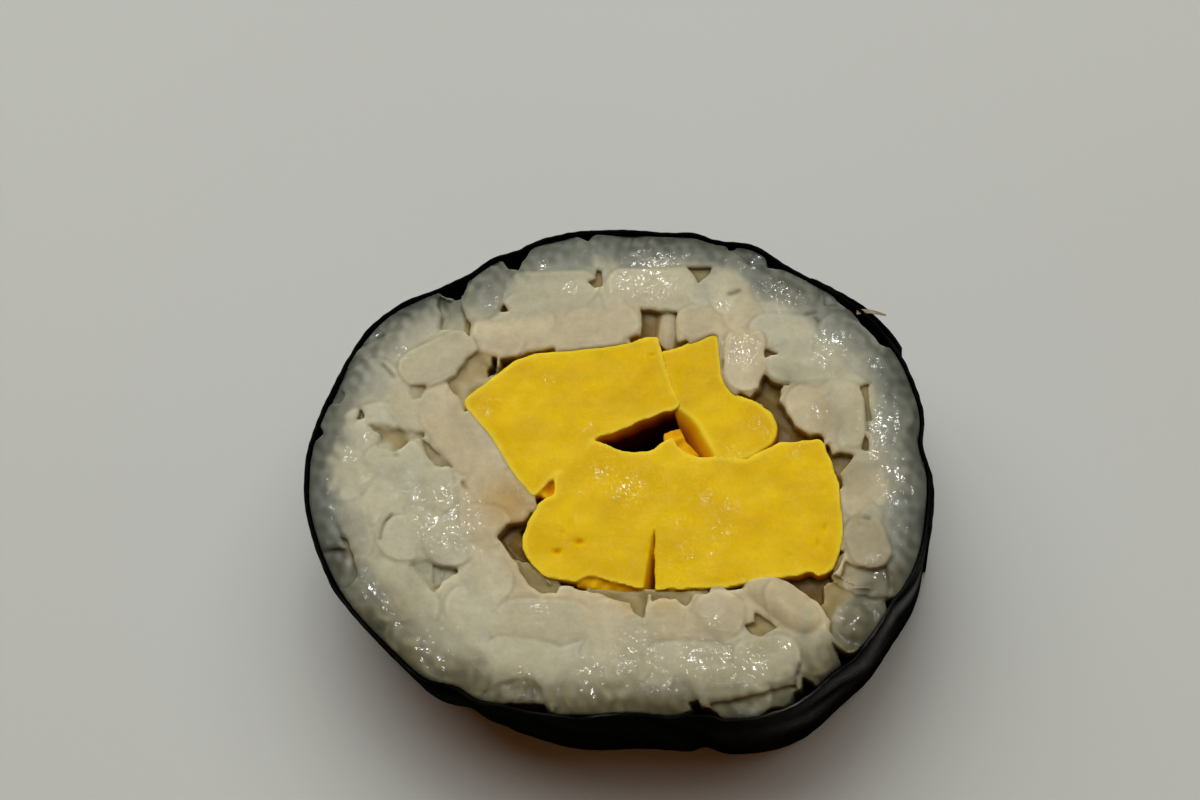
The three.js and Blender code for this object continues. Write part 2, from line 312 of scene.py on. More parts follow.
# The hollow between the strips and the notch at their left, both free of rice.
CAVITY = [
    -1.6,2, -0.5,1.4, 1,1, 2.5,1, 3.8,1, 4.7,0.8, 7,0.4, 6.6,2.8, 4.8,5, 2.5,4, 0.3,3,
]
NOTCH = [-4.3,-0.6, -6.1,-2.3, -5.9,-3.4, -4.4,-2.4]
# Parts of the omelette that lie below the cut: how far down, then the corners. Two are torn
# lumps between the strips, and two are the slanting foot of the front edge.
LUMPS = [
    (0.5, 3.4,2.7, 4.2,3, 4.65,3.1, 5.1,2, 6.1,0.9, 4.8,0.6, 3.4,1.4),
    (0.55, -5.8,-2.3, -4.5,-0.6, -3.6,-1, -4.6,-2.9),
    (0.45, -2.9,-8.9, -2.1,-8.5, -1,-8.5, 0,-8.9, 1.9,-9.3, 1.9,-9.8, 0.3,-9.75, -1.5,-9.6,
     -2.9,-9.35),
    (0.45, 2.9,-9.3, 6,-9.2, 8.5,-9, 8.5,-9.3, 5.8,-9.7, 2.9,-9.8),
]
# Where the side strip's wall slopes down into the hollow.
SKIRT = [4.5,4.9, 6.2,3.4, 7.8,0.6, 6.5,0.5, 5.1,1.8, 4.6,3, 4.2,4.4]
CRACK_TIP = (2.72, -4.35)  # the crack runs from here straight to the front
CRACK_LEAN = 0.16  # how far its left edge leaves its right edge, for each mm

# Grains that the knife went through: x, y, degrees, length, width, how much prouder the cut
# is than its neighbours, and the directions between which the grain's edge shows crisply.
CUT_GRAINS = [
    (-22, -0.4, 92, 5, 2.2, -0.04, 0, 0), (21.9, 0.8, 92, 5, 2, -0.04, 0, 0),
    (0.3, 17.9, 2, 4.8, 2.6, 0.02, 150, 210), (4.6, 17.8, 177, 4.8, 2.6, 0, 140, 220),
    (8, 17, 160, 4.4, 2.6, 0.02, -40, 50), (-4.6, 17.5, 14, 5.6, 2.6, 0.04, -10, 100),
    (-17.7, 9.1, 30, 4.6, 2.4, 0.02, 90, 150), (-18.5, 6.7, 33, 4.8, 3.2, 0.05, 10, 120),
    (-20.9, 3.2, 80, 5.4, 2.6, 0, 0, 0), (-19.9, -0.3, 100, 5.4, 3.2, 0, 200, 300),
    (-21.3, -3.9, 98, 5.2, 2.6, 0.03, -80, 30), (-18.2, -9.6, 125, 5.2, 2.8, 0, 30, 90),
    (-11, -15.2, 155, 5.6, 2.6, 0, 60, 110), (2.8, -17.8, 2, 5.5, 2.4, 0.02, 0, 60),
    (8.2, -17.6, 8, 4.5, 2.6, 0.03, 110, 200), (20.8, 6.4, 112, 5.6, 3, 0, 130, 190),
    (-8, 18, 25, 4, 2, -0.03, 0, 0), (20.6, -0.3, 93, 4.8, 3, 0.02, 100, 170),
    (20.8, -5.4, 87, 6.9, 3, 0.04, 120, 230), (17.6, -2.2, 95, 4.4, 2.8, 0.02, 180, 240),
    (-15, 11.6, 38, 5.2, 3, 0.05, -60, 80), (-18.3, 3.2, 20, 5, 3.2, 0.02, 60, 130),
    (-17.2, -2.9, 10, 4, 2.6, 0, 0, 0), (-19.3, -5, 104, 5.4, 3, 0.04, -50, 10),
    (-16.4, 0.3, 14, 5, 3.2, 0.06, 20, 160), (-13.3, -1.8, 101, 4.6, 3, 0.05, -60, 60),
    (-15.1, 4.7, 125, 5.2, 3.6, 0.07, 220, 340), (-10.9, 7.6, 52, 4.6, 2.6, 0, 0, 0),
    (-8.6, -1.9, 125, 7.2, 3.6, 0.04, 220, 330), (-11.7, 2.5, 125, 7.6, 3.7, 0.05, 190, 250),
    (-9.3, -8.3, 120, 5, 3, 0, -70, 20), (-9.6, -11.2, 164, 5.8, 3.4, 0.02, 120, 200),
    (-12.6, -12.9, 140, 5.5, 3, 0, 0, 0), (-15, -9.9, 127, 6.3, 3.2, 0.07, -20, 70),
    (-9.7, -4.7, 172, 4.4, 3.3, 0.08, -70, 100), (-15.4, -5.7, 92, 4, 3.8, 0.12, 90, 300),
    (-12, -6, 92, 4.2, 3.8, 0.1, 180, 320), (-6.5, -14.9, 170, 6.5, 3.2, 0, 60, 120),
    (-1.4, -16, 178, 6, 3.2, 0.03, 0, 60), (-5.2, -12.1, 178, 7.6, 3.5, 0.05, 50, 130),
    (-0.6, -12.6, 100, 5, 3.4, 0.03, 40, 100), (5.2, -15.2, 178, 7.2, 3.3, 0.05, 50, 120),
    (3.5, -11.9, 89, 4, 3.4, 0.08, 10, 170), (7.3, -11.5, 79, 4.1, 3.8, 0.1, -50, 170),
    (10.6, -14.8, 6, 5.2, 3.6, 0.07, -80, 190), (18.1, -6, 107, 4.6, 3.1, 0.12, 130, 400),
    (-7.6, 11, 4, 6.8, 2.9, 0.03, 130, 200), (-1.6, 11.5, 3, 7, 3.1, 0.05, -70, 70),
    (-10, 14.2, 83, 5.2, 2.8, 0.08, 0, 360), (-4.9, 14.5, 1, 7.4, 3, 0.08, -60, 120),
    (2.8, 14.7, 1, 7.5, 3.2, 0.06, 60, 200), (8.4, 14.4, 100, 4.6, 3.2, 0.02, 200, 260),
    (12.6, 10.9, 176, 5.6, 2.8, -0.02, 90, 170), (12.8, 14.4, 160, 5.4, 3.3, 0.05, -40, 80),
    (6.1, 11.7, 7, 3.5, 2.8, 0.05, 100, 280), (17.9, 8.2, 100, 3.4, 2.6, 0, 0, 0),
    (17.4, 10.5, 145, 5, 3.2, 0.06, 80, 200), (13.9, 8.2, 2, 5.9, 3.1, 0.06, 110, 290),
    (20.2, 3, 92, 5, 2.6, 0.02, 130, 190), (17.1, 4, 91, 5.6, 3, 0.06, -110, 80),
    (14.2, 4.2, 99, 4.9, 3.4, 0.1, 110, 300), (9.6, 8.6, 88, 5.8, 3.2, 0.13, 150, 400),
    (-13.3, 8.5, 28, 6.6, 3.5, 0.14, 0, 360),
]
# Whole grains that stand above the cut: the last number is the height of their backs.
PROUD_GRAINS = [
    (11.9, -10.65, 142, 7.2, 3.3, 0.42), (14.15, -14.6, 105, 4.3, 3.1, 0.25),
]
# Whole grains that lie lower and show in the gaps.
LOW_GRAINS = [
    (17.1, -12.1, 60, 4.7, 3.8, -0.3), (-12.4, 12.3, 88, 5, 2.3, -0.85),
    (3.75, 11, 84, 4, 1.7, -0.3), (-20.3, -7.5, 112, 4.6, 2.6, -0.5),
    (-13.5, -8.3, 20, 4, 2.6, -0.45), (8.3, -18.7, 172, 4.2, 2.5, -0.45),
    (11.5, -17.4, 30, 2.3, 1.8, -0.4), (-7.3, -17.3, 174, 4.6, 2.2, -0.35),
    (9.9, 17.4, 150, 4, 2.4, -0.4), (-21, 4.8, 70, 3.4, 2, -0.55),
    (18.1, -8.8, 12, 4.4, 2.8, -0.35), (16.3, 13.6, 130, 3.4, 2, -0.5),
]

# Gaps between the grains: how deep they look, mm, then their corners.
GAPS = [
    (1.1, -8.6,13.15, -8.1,12.55, -9.05,12.4),
    (0.9, -13.5,14, -12.8,13.6, -11.8,13.9, -11.6,12.6, -11,11.4, -11.05,10.3, -11.4,10.8, -12,11,
     -13.4,10.9, -13.2,12.2, -13.6,12.9),
    (0.7, -1.55,16.1, -1.15,16, -1,14.65, -1.7,14.5, -2.2,15, -1.65,15.3),
    (0.8, -19,4.55, -18.55,3.8, -19.3,3.6),
    (0.7, -20.1,5.6, -20.5,4.9, -21.6,4.9, -22.4,6, -21.6,7, -20.6,6.3),
    (0.35, -18.4,3.2, -16.8,3.05, -15.5,2.7, -14.1,2.6, -14.2,2.2, -15.3,1.9, -15.8,1.3, -16.2,1.05,
     -17.6,1.4, -17.5,2.3),
    (0.4, -12.8,6.7, -12,7.2, -11.2,8.6, -10.4,9.2, -8.9,8.7, -9,7.6, -10.2,6.3, -11.55,5),
    (2.4, -9.1,7.5, -8.75,8.1, -8.8,8.65, -7.2,8.85, -5.4,9.2, -6.8,8.6, -8.2,7.8),
    (0.25, -15.5,6.4, -14.1,6.4, -14.5,5.3, -15.2,5.2),
    (0.35, -19.2,10.4, -17.7,11.8, -17.3,10.5, -18.4,10.3),
    (0.45, -14.5,2.2, -13.4,1.3, -12,-0.2, -13.4,-0.1, -14.2,1.1),
    (0.8, 5.4,16.25, 7.3,16.3, 7.05,15.7, 6.2,14.85, 5.8,15.6),
    (1.3, 1.75,12.75, 4.55,12.5, 4.4,11.2, 4.65,9.6, 3.4,9.1, 2.95,10.4, 1.7,10.4, 1.9,11.5),
    (1, 11.1,9.5, 12.05,9, 11.4,8.8, 11.05,8.5),
    (1.6, 11,7.6, 11.4,6.85, 12.2,6.5, 12.9,6.5, 12.2,6.1, 12.1,5.2, 12.6,4.2, 13.2,3.1, 14.2,2.4,
     14.5,1.8, 11.5,1.8, 12,3.1, 11.7,3.8, 11,4.8, 9.7,5.4, 10.5,6.1),
    (0.6, 18,6.3, 18.8,6.6, 18.7,5.2, 18.9,3.6, 18.5,3.4, 18.4,5),
    (0.9, 18.3,2.5, 18.55,1.9, 18.6,1.1, 17.9,1.2),
    (1.2, 15.7,0.9, 16.6,1, 17.5,0.8, 16.8,-0.1, 16.1,-1.1, 15.9,-0.6),
    (0.5, 15.5,14.5, 16.2,14.1, 17,12.9, 15.6,13),
    (1.7, -8,-4.6, -6.4,-4.4, -6.6,-6.3, -6.1,-7.9, -5.2,-8.6, -6.6,-8.9, -7.2,-7.7, -8,-6.6,
     -8.65,-5.65),
    (1.9, -5.1,-8.7, -2.9,-9.3, -4.1,-9.4, -4.35,-9.95),
    (0.6, -7.2,-7.9, -5.2,-8.5, -4.3,-9.9, -5.5,-9.9, -6.4,-9.2),
    (0.4, -15,-7.75, -13.8,-7.35, -12.7,-7.9, -12.5,-9, -13,-10, -13.9,-9.1),
    (0.9, -12.65,-7.95, -11.4,-8, -11.4,-8.4, -12.65,-9.05),
    (0.6, -20.1,-5.5, -19.5,-5.8, -18.9,-7.3, -18.6,-8.6, -19.2,-9.6, -21,-9.3, -22.2,-6.9,
     -21,-6.5, -19.6,-6.5),
    (0.6, -1.6,-9.5, 2.1,-9.5, 2.3,-10.2, 1.9,-11.8, 1.2,-11.4, 0.9,-10.7, -0.2,-10.4, -1.4,-9.9),
    (0.5, 2.4,-9.6, 5.9,-9.6, 5.6,-10, 5,-10.95, 4.2,-10.4, 3,-10.3, 2.4,-10.6),
    (2.2, 8.5,-9.25, 9,-9.2, 8.8,-9.65),
    (0.6, 9.8,-11.3, 10.6,-11.75, 11.5,-12.5, 11,-12.7, 10.2,-13.2, 9.5,-13, 9.1,-12.3, 9.7,-12),
    (2, 11.9,-8.7, 14,-8.3, 15.3,-8.2, 16,-8.6, 17.2,-9.3, 16.2,-9.9, 15.6,-10.6, 15.3,-12.2,
     14.6,-10.9, 13.4,-9.9),
    (0.9, 15.4,-9.5, 19.4,-9.4, 19.6,-11.6, 17.6,-13.8, 16.3,-14.2, 15.1,-12.8),
    (0.6, 6.4,-18, 8,-17.9, 9.5,-17.45, 10.6,-17.15, 11.9,-16.8, 12.7,-16.6, 12.7,-18.4, 9.4,-20,
     7,-19.6),
    (0.25, -9.3,-17.3, -8.2,-16.6, -7.3,-16.35, -5.8,-16.35, -5.3,-17, -4.9,-18.2, -9.4,-18.2),
    (0.6, 8.6,18.2, 11.2,17.3, 11.2,16.6, 10,16.5, 9.1,17.4),
    (0.6, 16.4,-7.4, 17.2,-7.9, 18.2,-8, 19.5,-7.9, 19.6,-9.6, 17.4,-9.4, 16,-8.6),
]
# Thin lines of painted shade in the cut face, where a gap has almost closed.
SEAMS = [
    (8.5,13.95, 8.9,14.05, 9.35,14.25), (14.3,12.25, 15,12.4), (14.95,12, 15.2,11.65),
    (-17.1,-5.8, -17.05,-5.2, -16.8,-4.5, -16.35,-3.95), (-11.3,-1.35, -11.05,-1.8),
    (7.9,8.4, 7.85,7.8), (18.45,5.2, 18.5,2.7), (-16.25,0.8, -16.15,0.8), (-20.2,-4.9, -19.6,-6),
    (-17.5,8.1, -16.6,7.1), (1.2,18.9, 1.1,17.9), (3.2,18.8, 3.7,18.3), (12.9,-15.2, 12.6,-16.5),
    (17.9,-4.1, 18.3,-4.2), (19.4,-7.8, 19.9,-7.1), (-16.8,12.4, -15.6,12.2),
    (-18.2,11.6, -17.6,10.5),
]
# Wet places that glint: x, y, how far they reach, how wet. First on the rice, then the omelette.
GLINTS = [
    (2.6, 15.9, 1.5, 1), (0.6, 15.2, 0.9, 0.6), (-3.5, 14.6, 0.4, 0.9), (-16, 9.1, 0.5, 1),
    (-18, 10.3, 0.7, 0.5), (-5.8, 16.3, 0.5, 0.7), (12.6, 14.5, 1, 0.8), (16.1, 10, 0.8, 1),
    (15.7, 8.6, 0.8, 0.7), (9.5, 9.2, 1, 0.7), (8, 13, 0.4, 0.8), (19.8, 8.4, 0.7, 0.5),
    (10.4, 17.4, 1, 0.7), (4.5, 18.3, 1.2, 0.5), (19.7, 3.2, 1.3, 1), (18.7, 1, 0.5, 0.7),
    (20.3, -0.6, 0.9, 0.9), (21, -1.9, 1.2, 1), (20.9, -5.5, 0.6, 0.5), (18.6, -8.4, 0.8, 1),
    (16.8, -12.1, 1.2, 1), (9.5, -15.3, 0.9, 1), (5.4, -15, 0.9, 0.9), (7.8, -14.9, 0.8, 1),
    (1.5, -14.6, 1.4, 0.4), (6.8, -11.9, 0.4, 0.8), (12, -13.7, 0.4, 0.7), (-1.7, -17.3, 0.9, 0.6),
    (-2, -15.6, 0.7, 0.6), (-6.5, -16.2, 0.7, 0.6), (-18.7, -8.4, 0.5, 1), (-17.7, -9.7, 0.5, 0.9),
    (-15.9, -10.8, 0.6, 0.8), (-15.9, -12.1, 0.7, 1), (-13.5, -14.5, 0.9, 0.9),
    (-12.6, -15.2, 0.6, 0.6), (-12.8, -2.1, 0.6, 0.9), (-12.2, -4.3, 1.8, 0.8),
    (-14.7, -2.4, 0.4, 0.7), (-10.4, -3.3, 0.4, 0.9), (-18.3, -0.5, 0.5, 0.6),
    (-18.7, 2.4, 0.4, 0.8), (-19.7, 0.8, 0.5, 0.5), (-20.9, -4, 0.6, 0.5), (-21.4, -0.8, 0.5, 0.5),
    (-9.2, 13.4, 0.6, 0.5), (15, 4.6, 0.6, 0.5), (-5.5, -11, 0.7, 0.3), (3.4, -17.2, 0.7, 0.4),
]
EGG_GLINTS = [
    (-1.1, -0.5, 0.6, 1), (0.8, -1.8, 0.9, 1), (4.5, -4.5, 0.4, 0.7), (7.4, -5.05, 0.5, 0.8),
    (5.3, -7, 0.4, 0.7), (6.8, -6.9, 0.3, 0.8), (4.7, -6.2, 0.3, 0.6), (8.2, -3, 0.5, 0.6),
    (8.6, 1, 0.4, 0.8), (13.3, 1.1, 0.3, 0.9), (-5, 6.9, 0.4, 0.8), (-2.1, 3, 0.3, 0.6),
    (-2.8, -2, 0.4, 0.5), (6.4, -2.6, 0.5, 0.4), (10.6, 3, 0.6, 0.5), (-9.6, 4.6, 0.6, 0.4),
]
# Rice painted a warmer tan beside the omelette: x, y, reach, how strongly.
TAN_SPOTS = [
    (-7.6, -3, 2.4, 0.9), (-9.8, 7.6, 1.6, 0.4), (0.5, -10.3, 1.2, 0.5), (3.6, -10.2, 1.2, 0.5),
]
# Rice with painted shade, duller than the rest, in the same terms.
DIM_SHADE_SPOTS = [
    (17, -0.6, 1.8, 0.6), (17.2, -5.2, 2, 0.5), (12.7, 6.9, 1.3, 0.4), (16.3, 3.5, 1.6, 0.4),
    (6.7, -14.6, 2.2, 0.4), (10.5, -13.7, 1.7, 0.4), (2.6, -14.4, 2.2, 0.25), (19, -8.5, 1.6, 0.3),
    (-11.6, 2.4, 1.6, 0.15), (-15.4, -11.2, 1.8, 0.2),
]
# Painted shade where the nori shows through the rice most: x, y, reach, how strongly.
SHADES = [
    (3.4, 18.6, 1.3, 0.8), (0.6, 18.2, 0.9, 0.5), (-4.8, 18.2, 1, 0.2), (7.6, 17.6, 1.1, 0.4),
    (20.9, 6.4, 1, 0.5), (13.2, 15.4, 1, 0.4), (-22, 0.8, 1.2, 0.3), (-21.9, -2.6, 1.2, 0.25),
    (-19.9, -7.2, 1, 0.5), (-16.6, -12.4, 1.4, 0.5), (21.6, -6.4, 1.1, 0.5),
    (-10.4, -16.2, 1.2, 0.4), (-20, 7, 1, 0.2), (-17.6, 10.6, 1, 0.2), (-13.2, 14.6, 0.9, 0.4),
]
# Gaps that go down past the second layer, most of them along the nori.
DEEP_GAPS = [
    (-3.4,20, -3.3,19.3, -2.8,18.9, -2.2,18.4, -1.9,18.9, -1.2,19.25, -1.2,20),
    (-8.75,16.8, -8.3,16.15, -7.45,16, -7.2,16.7, -6.8,17.3, -6,19, -9.4,18.4),
    (-11.3,15.2, -11.6,13.9, -12.4,13.55, -13.4,13.9, -14.2,16.2, -11,16.6),
    (-20.3,7.9, -20.5,6.9, -21.2,6.9, -22.6,7.6, -21.5,9.4),
    (-22,3.5, -21.7,2.5, -22.3,1.8, -24,1.8, -24,4),
    (8.9,18.5, 9.1,17.9, 8.5,17.7, 8,19.4, 9.4,19.6),
    (11.3,17.3, 11.4,16.3, 12,16.15, 13.2,16.15, 14,15.9, 14.6,16.4, 11.6,18.2),
    (15.4,15.1, 16.1,14.2, 17,13.1, 17.7,12.6, 18.3,11.6, 19.4,10.4, 19.7,9.8, 20.6,9.5, 21.6,9.6,
     21,12, 18.5,14, 16.4,15.8),
    (22,2.2, 22.6,2.4, 24,2.4, 24,1.4, 22.3,1.4),
    (-7.3,-4.8, -6.4,-4.5, -6.7,-5.6, -7.1,-5.6),
    (5.1,-19.5, 5.1,-18.4, 5,-17.95, 5.7,-17.75, 6.05,-18.3, 6.6,-18.3, 7.3,-18.9, 8.2,-19.5,
     9.2,-19.5, 10,-18.9, 10.7,-18.2, 11.6,-18.2, 12.2,-17.8, 12.4,-17.1, 12.9,-17, 13.1,-16,
     13.4,-16.3, 13.9,-16.4, 14.2,-16.9, 14.5,-16.3, 15.5,-15.8, 15.65,-15.2, 15.45,-14.3,
     15.1,-13.4, 16,-14.15, 17,-14.45, 17.8,-13.9, 18.7,-12.7, 19.3,-11.4, 19,-10.3, 20.4,-9.9,
     23,-10, 19,-20, 10,-24, 5,-22),
    (-10.6,-17.6, -9.6,-17.95, -7.4,-18, -5.1,-18.05, -4.6,-18.7, -4.3,-19, -4.3,-21, -12,-21),
    (-1.2,-18.95, -0.4,-18.75, 0.8,-18.75, 1.8,-19.05, 1.8,-20, -1.2,-20),
]
# fmt: on


# ---- Fields of the rice ----

SECOND_LAYER = 1.2  # how far down the next layer of rice lies, mm
SHALLOW = 0.6  # how much of a gap's depth is real; the rest is the shade painted in it
GAP_LEAN = 0.12  # how much narrower a gap gets, for each mm down
SHAFT_LEAN = 0.1  # the same in a deep gap
WALL_GRIT = 0.04  # how ragged the walls of the gaps are, mm
PROUD_FLAT = 1.3  # how many times flatter than wide a whole grain is, on top and lower down
LOW_FLAT = 1.12
SWELL = 0.025  # long swells that the knife leaves in the cut, mm
GRIT = 0.01  # short ones
CROWN = 0.03  # from the middle of a cut grain down to its edges, mm
EDGE_DIP = 0.025  # along a grain's crisp edge
SEAM_DIP = 0.1  # along a dark seam
RUN_OUT = 1.1  # how far a grain runs out into the rice round it, mm
CRISP = 0.98  # how much less that is on its crisp side
TONE = 0.07  # how much a grain may be lighter or darker than the next
WARMTH = 0.016  # how much it may be warmer
LATTICE = 3.0  # between the faint grains, mm


def bent(rows, seed):
    """Grains from rows of numbers, each with a slight bend of its own."""
    rng = np.random.default_rng(seed)
    return [Grain(*row[:6], bend=rng.uniform(-0.3, 0.3)) for row in rows]


def grain_axes(g, x, y):
    """Places along and across a grain, from the end of its straight part, and its radius."""
    u, v = turned(x - g.x, y - g.y, g.deg)
    end = g.length / 2
    v = v - g.bend * ((u / end) ** 2 - 0.3)
    straight = max(end - g.width / 2, 0.05)
    radius = g.width / 2 * (1 - 0.1 * (u / end) ** 2)
    return u - np.clip(u, -straight, straight), v, radius


def join_grain(field, g, flat, soft):
    """Unites a whole grain with a field, inside a box round the grain."""
    axis_z = HEIGHT + g.top - g.width / 2 / flat
    reach = g.length / 2 + 0.9
    i0, i1 = np.searchsorted(XS, [g.x - reach, g.x + reach])
    j0, j1 = np.searchsorted(YS, [g.y - reach, g.y + reach])
    k0, k1 = np.searchsorted(RICE_LEVELS, [axis_z - g.width, axis_z + g.width])
    box = (slice(i0, i1), slice(j0, j1), slice(k0, k1))
    u, v, radius = grain_axes(g, X[i0:i1, j0:j1], Y[i0:i1, j0:j1])
    up = (RICE_LEVELS[None, None, k0:k1] - axis_z) * flat
    grain = np.hypot(np.hypot(u, v)[:, :, None], up) - radius[:, :, None]
    field[box] = smin(field[box], grain, soft)


ROUND = np.degrees(np.arctan2(Y, X))  # degrees round the middle
IN_RIM = rim_radius(ROUND) - SHEET - np.hypot(X, Y)  # to the nori, mm


def spots(rows, x, y):
    """The strongest of several round soft spots at each place, from 0 to 1."""
    total = np.zeros(np.shape(x))
    for px, py, reach, much in rows:
        total = np.maximum(total, much * bell(np.hypot(x - px, y - py), reach))
    return total


def lay_grain(face, row, g, grit, fibre_seed, rng):
    """Lays a cut grain over the face: a small step on its crisp side, none on the other."""
    u, v, radius = grain_axes(g, X, Y)
    d = np.hypot(u, v) - radius
    way = np.degrees(np.arctan2(v, u)) + g.deg
    middle, half = (row[6] + row[7]) / 2, (row[7] - row[6]) / 2
    off = np.abs(half_turn(way - middle))
    crisp = fade(half + 25, half - 5, off) if half > 0 else np.zeros(X.shape)
    share = fade(0, 1, -d / (RUN_OUT - CRISP * crisp))
    across = (v / radius) ** 2
    # Painted light: the tone is lighter towards the crisp side and along the grain's middle.
    shine = np.cos(np.radians(way - middle)) * np.clip(1 + d / radius, 0, 1) if half else 0
    fibre = 0.025 * waves(0.22 * u, v, 0.7, fibre_seed)
    light = 1 + rng.uniform(-TONE, TONE) + 0.06 * shine + 0.05 * (1 - 2 * across) + fibre
    here = np.array([g.x]), np.array([g.y])
    own = {
        "lift": 0.7 * g.top - CROWN * across + grit,
        "light": light,
        "warm": rng.uniform(-WARMTH, WARMTH),
        "rim": at(IN_RIM, *here),
        "egg": at(face["pocket"], *here),
        "line": 0,
        "edge_highlight": 0,
    }
    for key, value in own.items():
        face[key] = face[key] + (value - face[key]) * share
    # A painted shadow line just outside the crisp edge and a painted highlight just inside it.
    face["line"] = np.maximum(face["line"], crisp * bell(d - 0.04, 0.09))
    face["edge_highlight"] = np.maximum(face["edge_highlight"], crisp * bell(d + 0.16, 0.12))


def cut_face(rows, pocket, seed):
    """Plan maps of the knife's cut: height, each grain's tone, and painted light and shade at crisp
    edges.
    """
    rng = np.random.default_rng(seed)
    face = {
        "lift": SWELL * waves(X, Y, 7.0, seed) + GRIT * waves(X, Y, 1.8, seed + 1),
        "light": 1 + 0.015 * waves(X, Y, 3.0, seed + 2),
        "warm": 0.008 * waves(X, Y, 4.0, seed + 3),
        "rim": IN_RIM,
        "egg": pocket,
        "pocket": pocket,
        "line": np.zeros(X.shape),
        "edge_highlight": np.zeros(X.shape),
    }
    grit = GRIT * waves(X, Y, 2.5, seed + 9)
    for row, g in zip(rows, bent(rows, seed)):
        lay_grain(face, row, g, grit, seed + 20, rng)
    return face


def seam_map(seams):
    """How near each place is to a thin dark line, from 0 to 1."""
    near = np.full(X.shape, np.inf)
    for seam in seams:
        ends = np.reshape(seam, (-1, 2))
        for a, b in zip(ends, ends[1:]):
            near = np.minimum(near, plan([a, b]))
    return bell(near, 0.11)


def gap_maps(gaps, deep_gaps, pocket, seed):
    """Distance in plan to any gap and to the deep ones, and the level of the beds."""
    gap, deep = np.full(X.shape, 9.0), np.full(X.shape, 9.0)
    bed = np.full(X.shape, HEIGHT - SECOND_LAYER)
    rough = 0.06 * waves(X, Y, 2.0, seed + 14)
    for down, *corners in gaps:
        d = plan(corners)
        gap = np.minimum(gap, d)
        bed = np.where(d < 0.6, HEIGHT - SHALLOW * down + rough, bed)
    for corners in deep_gaps:
        deep = np.minimum(deep, plan(corners))
    gap = np.minimum(gap, deep)
    beside_egg = np.maximum(gap - 0.8, pocket - 0.3)
    return np.minimum(gap, beside_egg), deep, bed


def rice_field(rows, proud, low, gaps, deep_gaps, seams, in_rim, pocket, seed):
    """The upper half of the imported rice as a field, with the plan maps that colour it."""
    maps = cut_face(rows, pocket, seed)
    maps["seam"] = seam_map(seams)
    worn = np.clip(0.25 + 0.18 * waves(X, Y, 5.0, seed + 12), 0.03, 0.6)
    worn = worn * bell(np.maximum(in_rim, 0), 0.7)
    cut = HEIGHT + maps["lift"] - EDGE_DIP * maps["line"] - SEAM_DIP * maps["seam"] - worn
    gap, deep, bed = gap_maps(gaps, deep_gaps, pocket, seed)

    ragged = WALL_GRIT * waves(X, Y, 0.9, seed + 15)
    walls = (gap + ragged)[:, :, None] + GAP_LEAN * (HEIGHT - RICE_Z)
    field = smax(RICE_Z - cut[:, :, None], -walls, 0.15)
    for g in proud:
        join_grain(field, g, PROUD_FLAT, 0.06)
    under = RICE_Z - bed[:, :, None] + np.zeros(field.shape)
    whole = np.zeros(X.shape)
    for g in low:
        join_grain(under, g, LOW_FLAT, 0.12)
        u, v, radius = grain_axes(g, X, Y)
        whole = np.maximum(whole, fade(0.1, -0.4, np.hypot(u, v) - radius))
    shaft = (deep + ragged)[:, :, None] + SHAFT_LEAN * (HEIGHT - RICE_Z)
    field = np.minimum(field, smax(under, -shaft, 0.15))
    field = smax(field, (RICE_GAP - in_rim)[:, :, None], 0.12)
    field = smax(field, (-0.1 - pocket)[:, :, None], 0.06)
    return field, {**maps, "cut": cut, "whole": whole, "gap": gap}


def scattered(seed, inside, lengths, widths, tops):
    """Grains on a jittered lattice, in plan where inside() holds."""
    rng = np.random.default_rng(seed)
    rows = []
    for j, y in enumerate(np.arange(YS[0], YS[-1], LATTICE * 0.8)):
        for x in np.arange(XS[0] + (j % 2) * LATTICE / 2, XS[-1], LATTICE):
            px, py = x + rng.uniform(-0.5, 0.5), y + rng.uniform(-0.5, 0.5)
            deg, length = rng.uniform(0, 180), rng.uniform(*lengths)
            width, top = rng.uniform(*widths), rng.uniform(*tops)
            way, half = rng.uniform(0, 360), rng.uniform(20, 110)
            if inside(px, py):
                rows.append((px, py, deg, length, width, top, way - half, way + half))
    return rows


# ---- Colours of the rice ----

LIT = 0.82  # what a level white surface shows in this light
CREAM = srgb(178, 165, 133)  # beside the omelette
WHITE = srgb(171, 167, 142)
ASH = srgb(107, 111, 102)  # painted shade along the nori, which shows through the rice
OLIVE = srgb(112, 106, 78)  # the same painted shade at the front
SHADE_GREY = srgb(62, 64, 54)  # painted shade at the nori and in the seams
SPOT_TAN = srgb(166, 138, 80)
DULL_SHADE = srgb(122, 112, 80)
TAN = srgb(150, 134, 90)  # painted shade in the shallow gaps
UMBER = srgb(108, 85, 34)
DUSK = srgb(30, 20, 8)  # painted shade deep down
MOSS = srgb(104, 104, 82)  # the same three painted shades along the nori
PEAT = srgb(64, 63, 46)
PITCH = srgb(8, 8, 6)
# Painted shade that takes over with depth, inside and along the nori, and between which depths.
DEPTHS = [(TAN, MOSS, 0.1, 0.3), (UMBER, PEAT, 0.4, 1.0), (DUSK, PITCH, 1.0, 2.2)]


def blend(a, b, t):
    return a + (b - a) * np.asarray(t)[..., None]


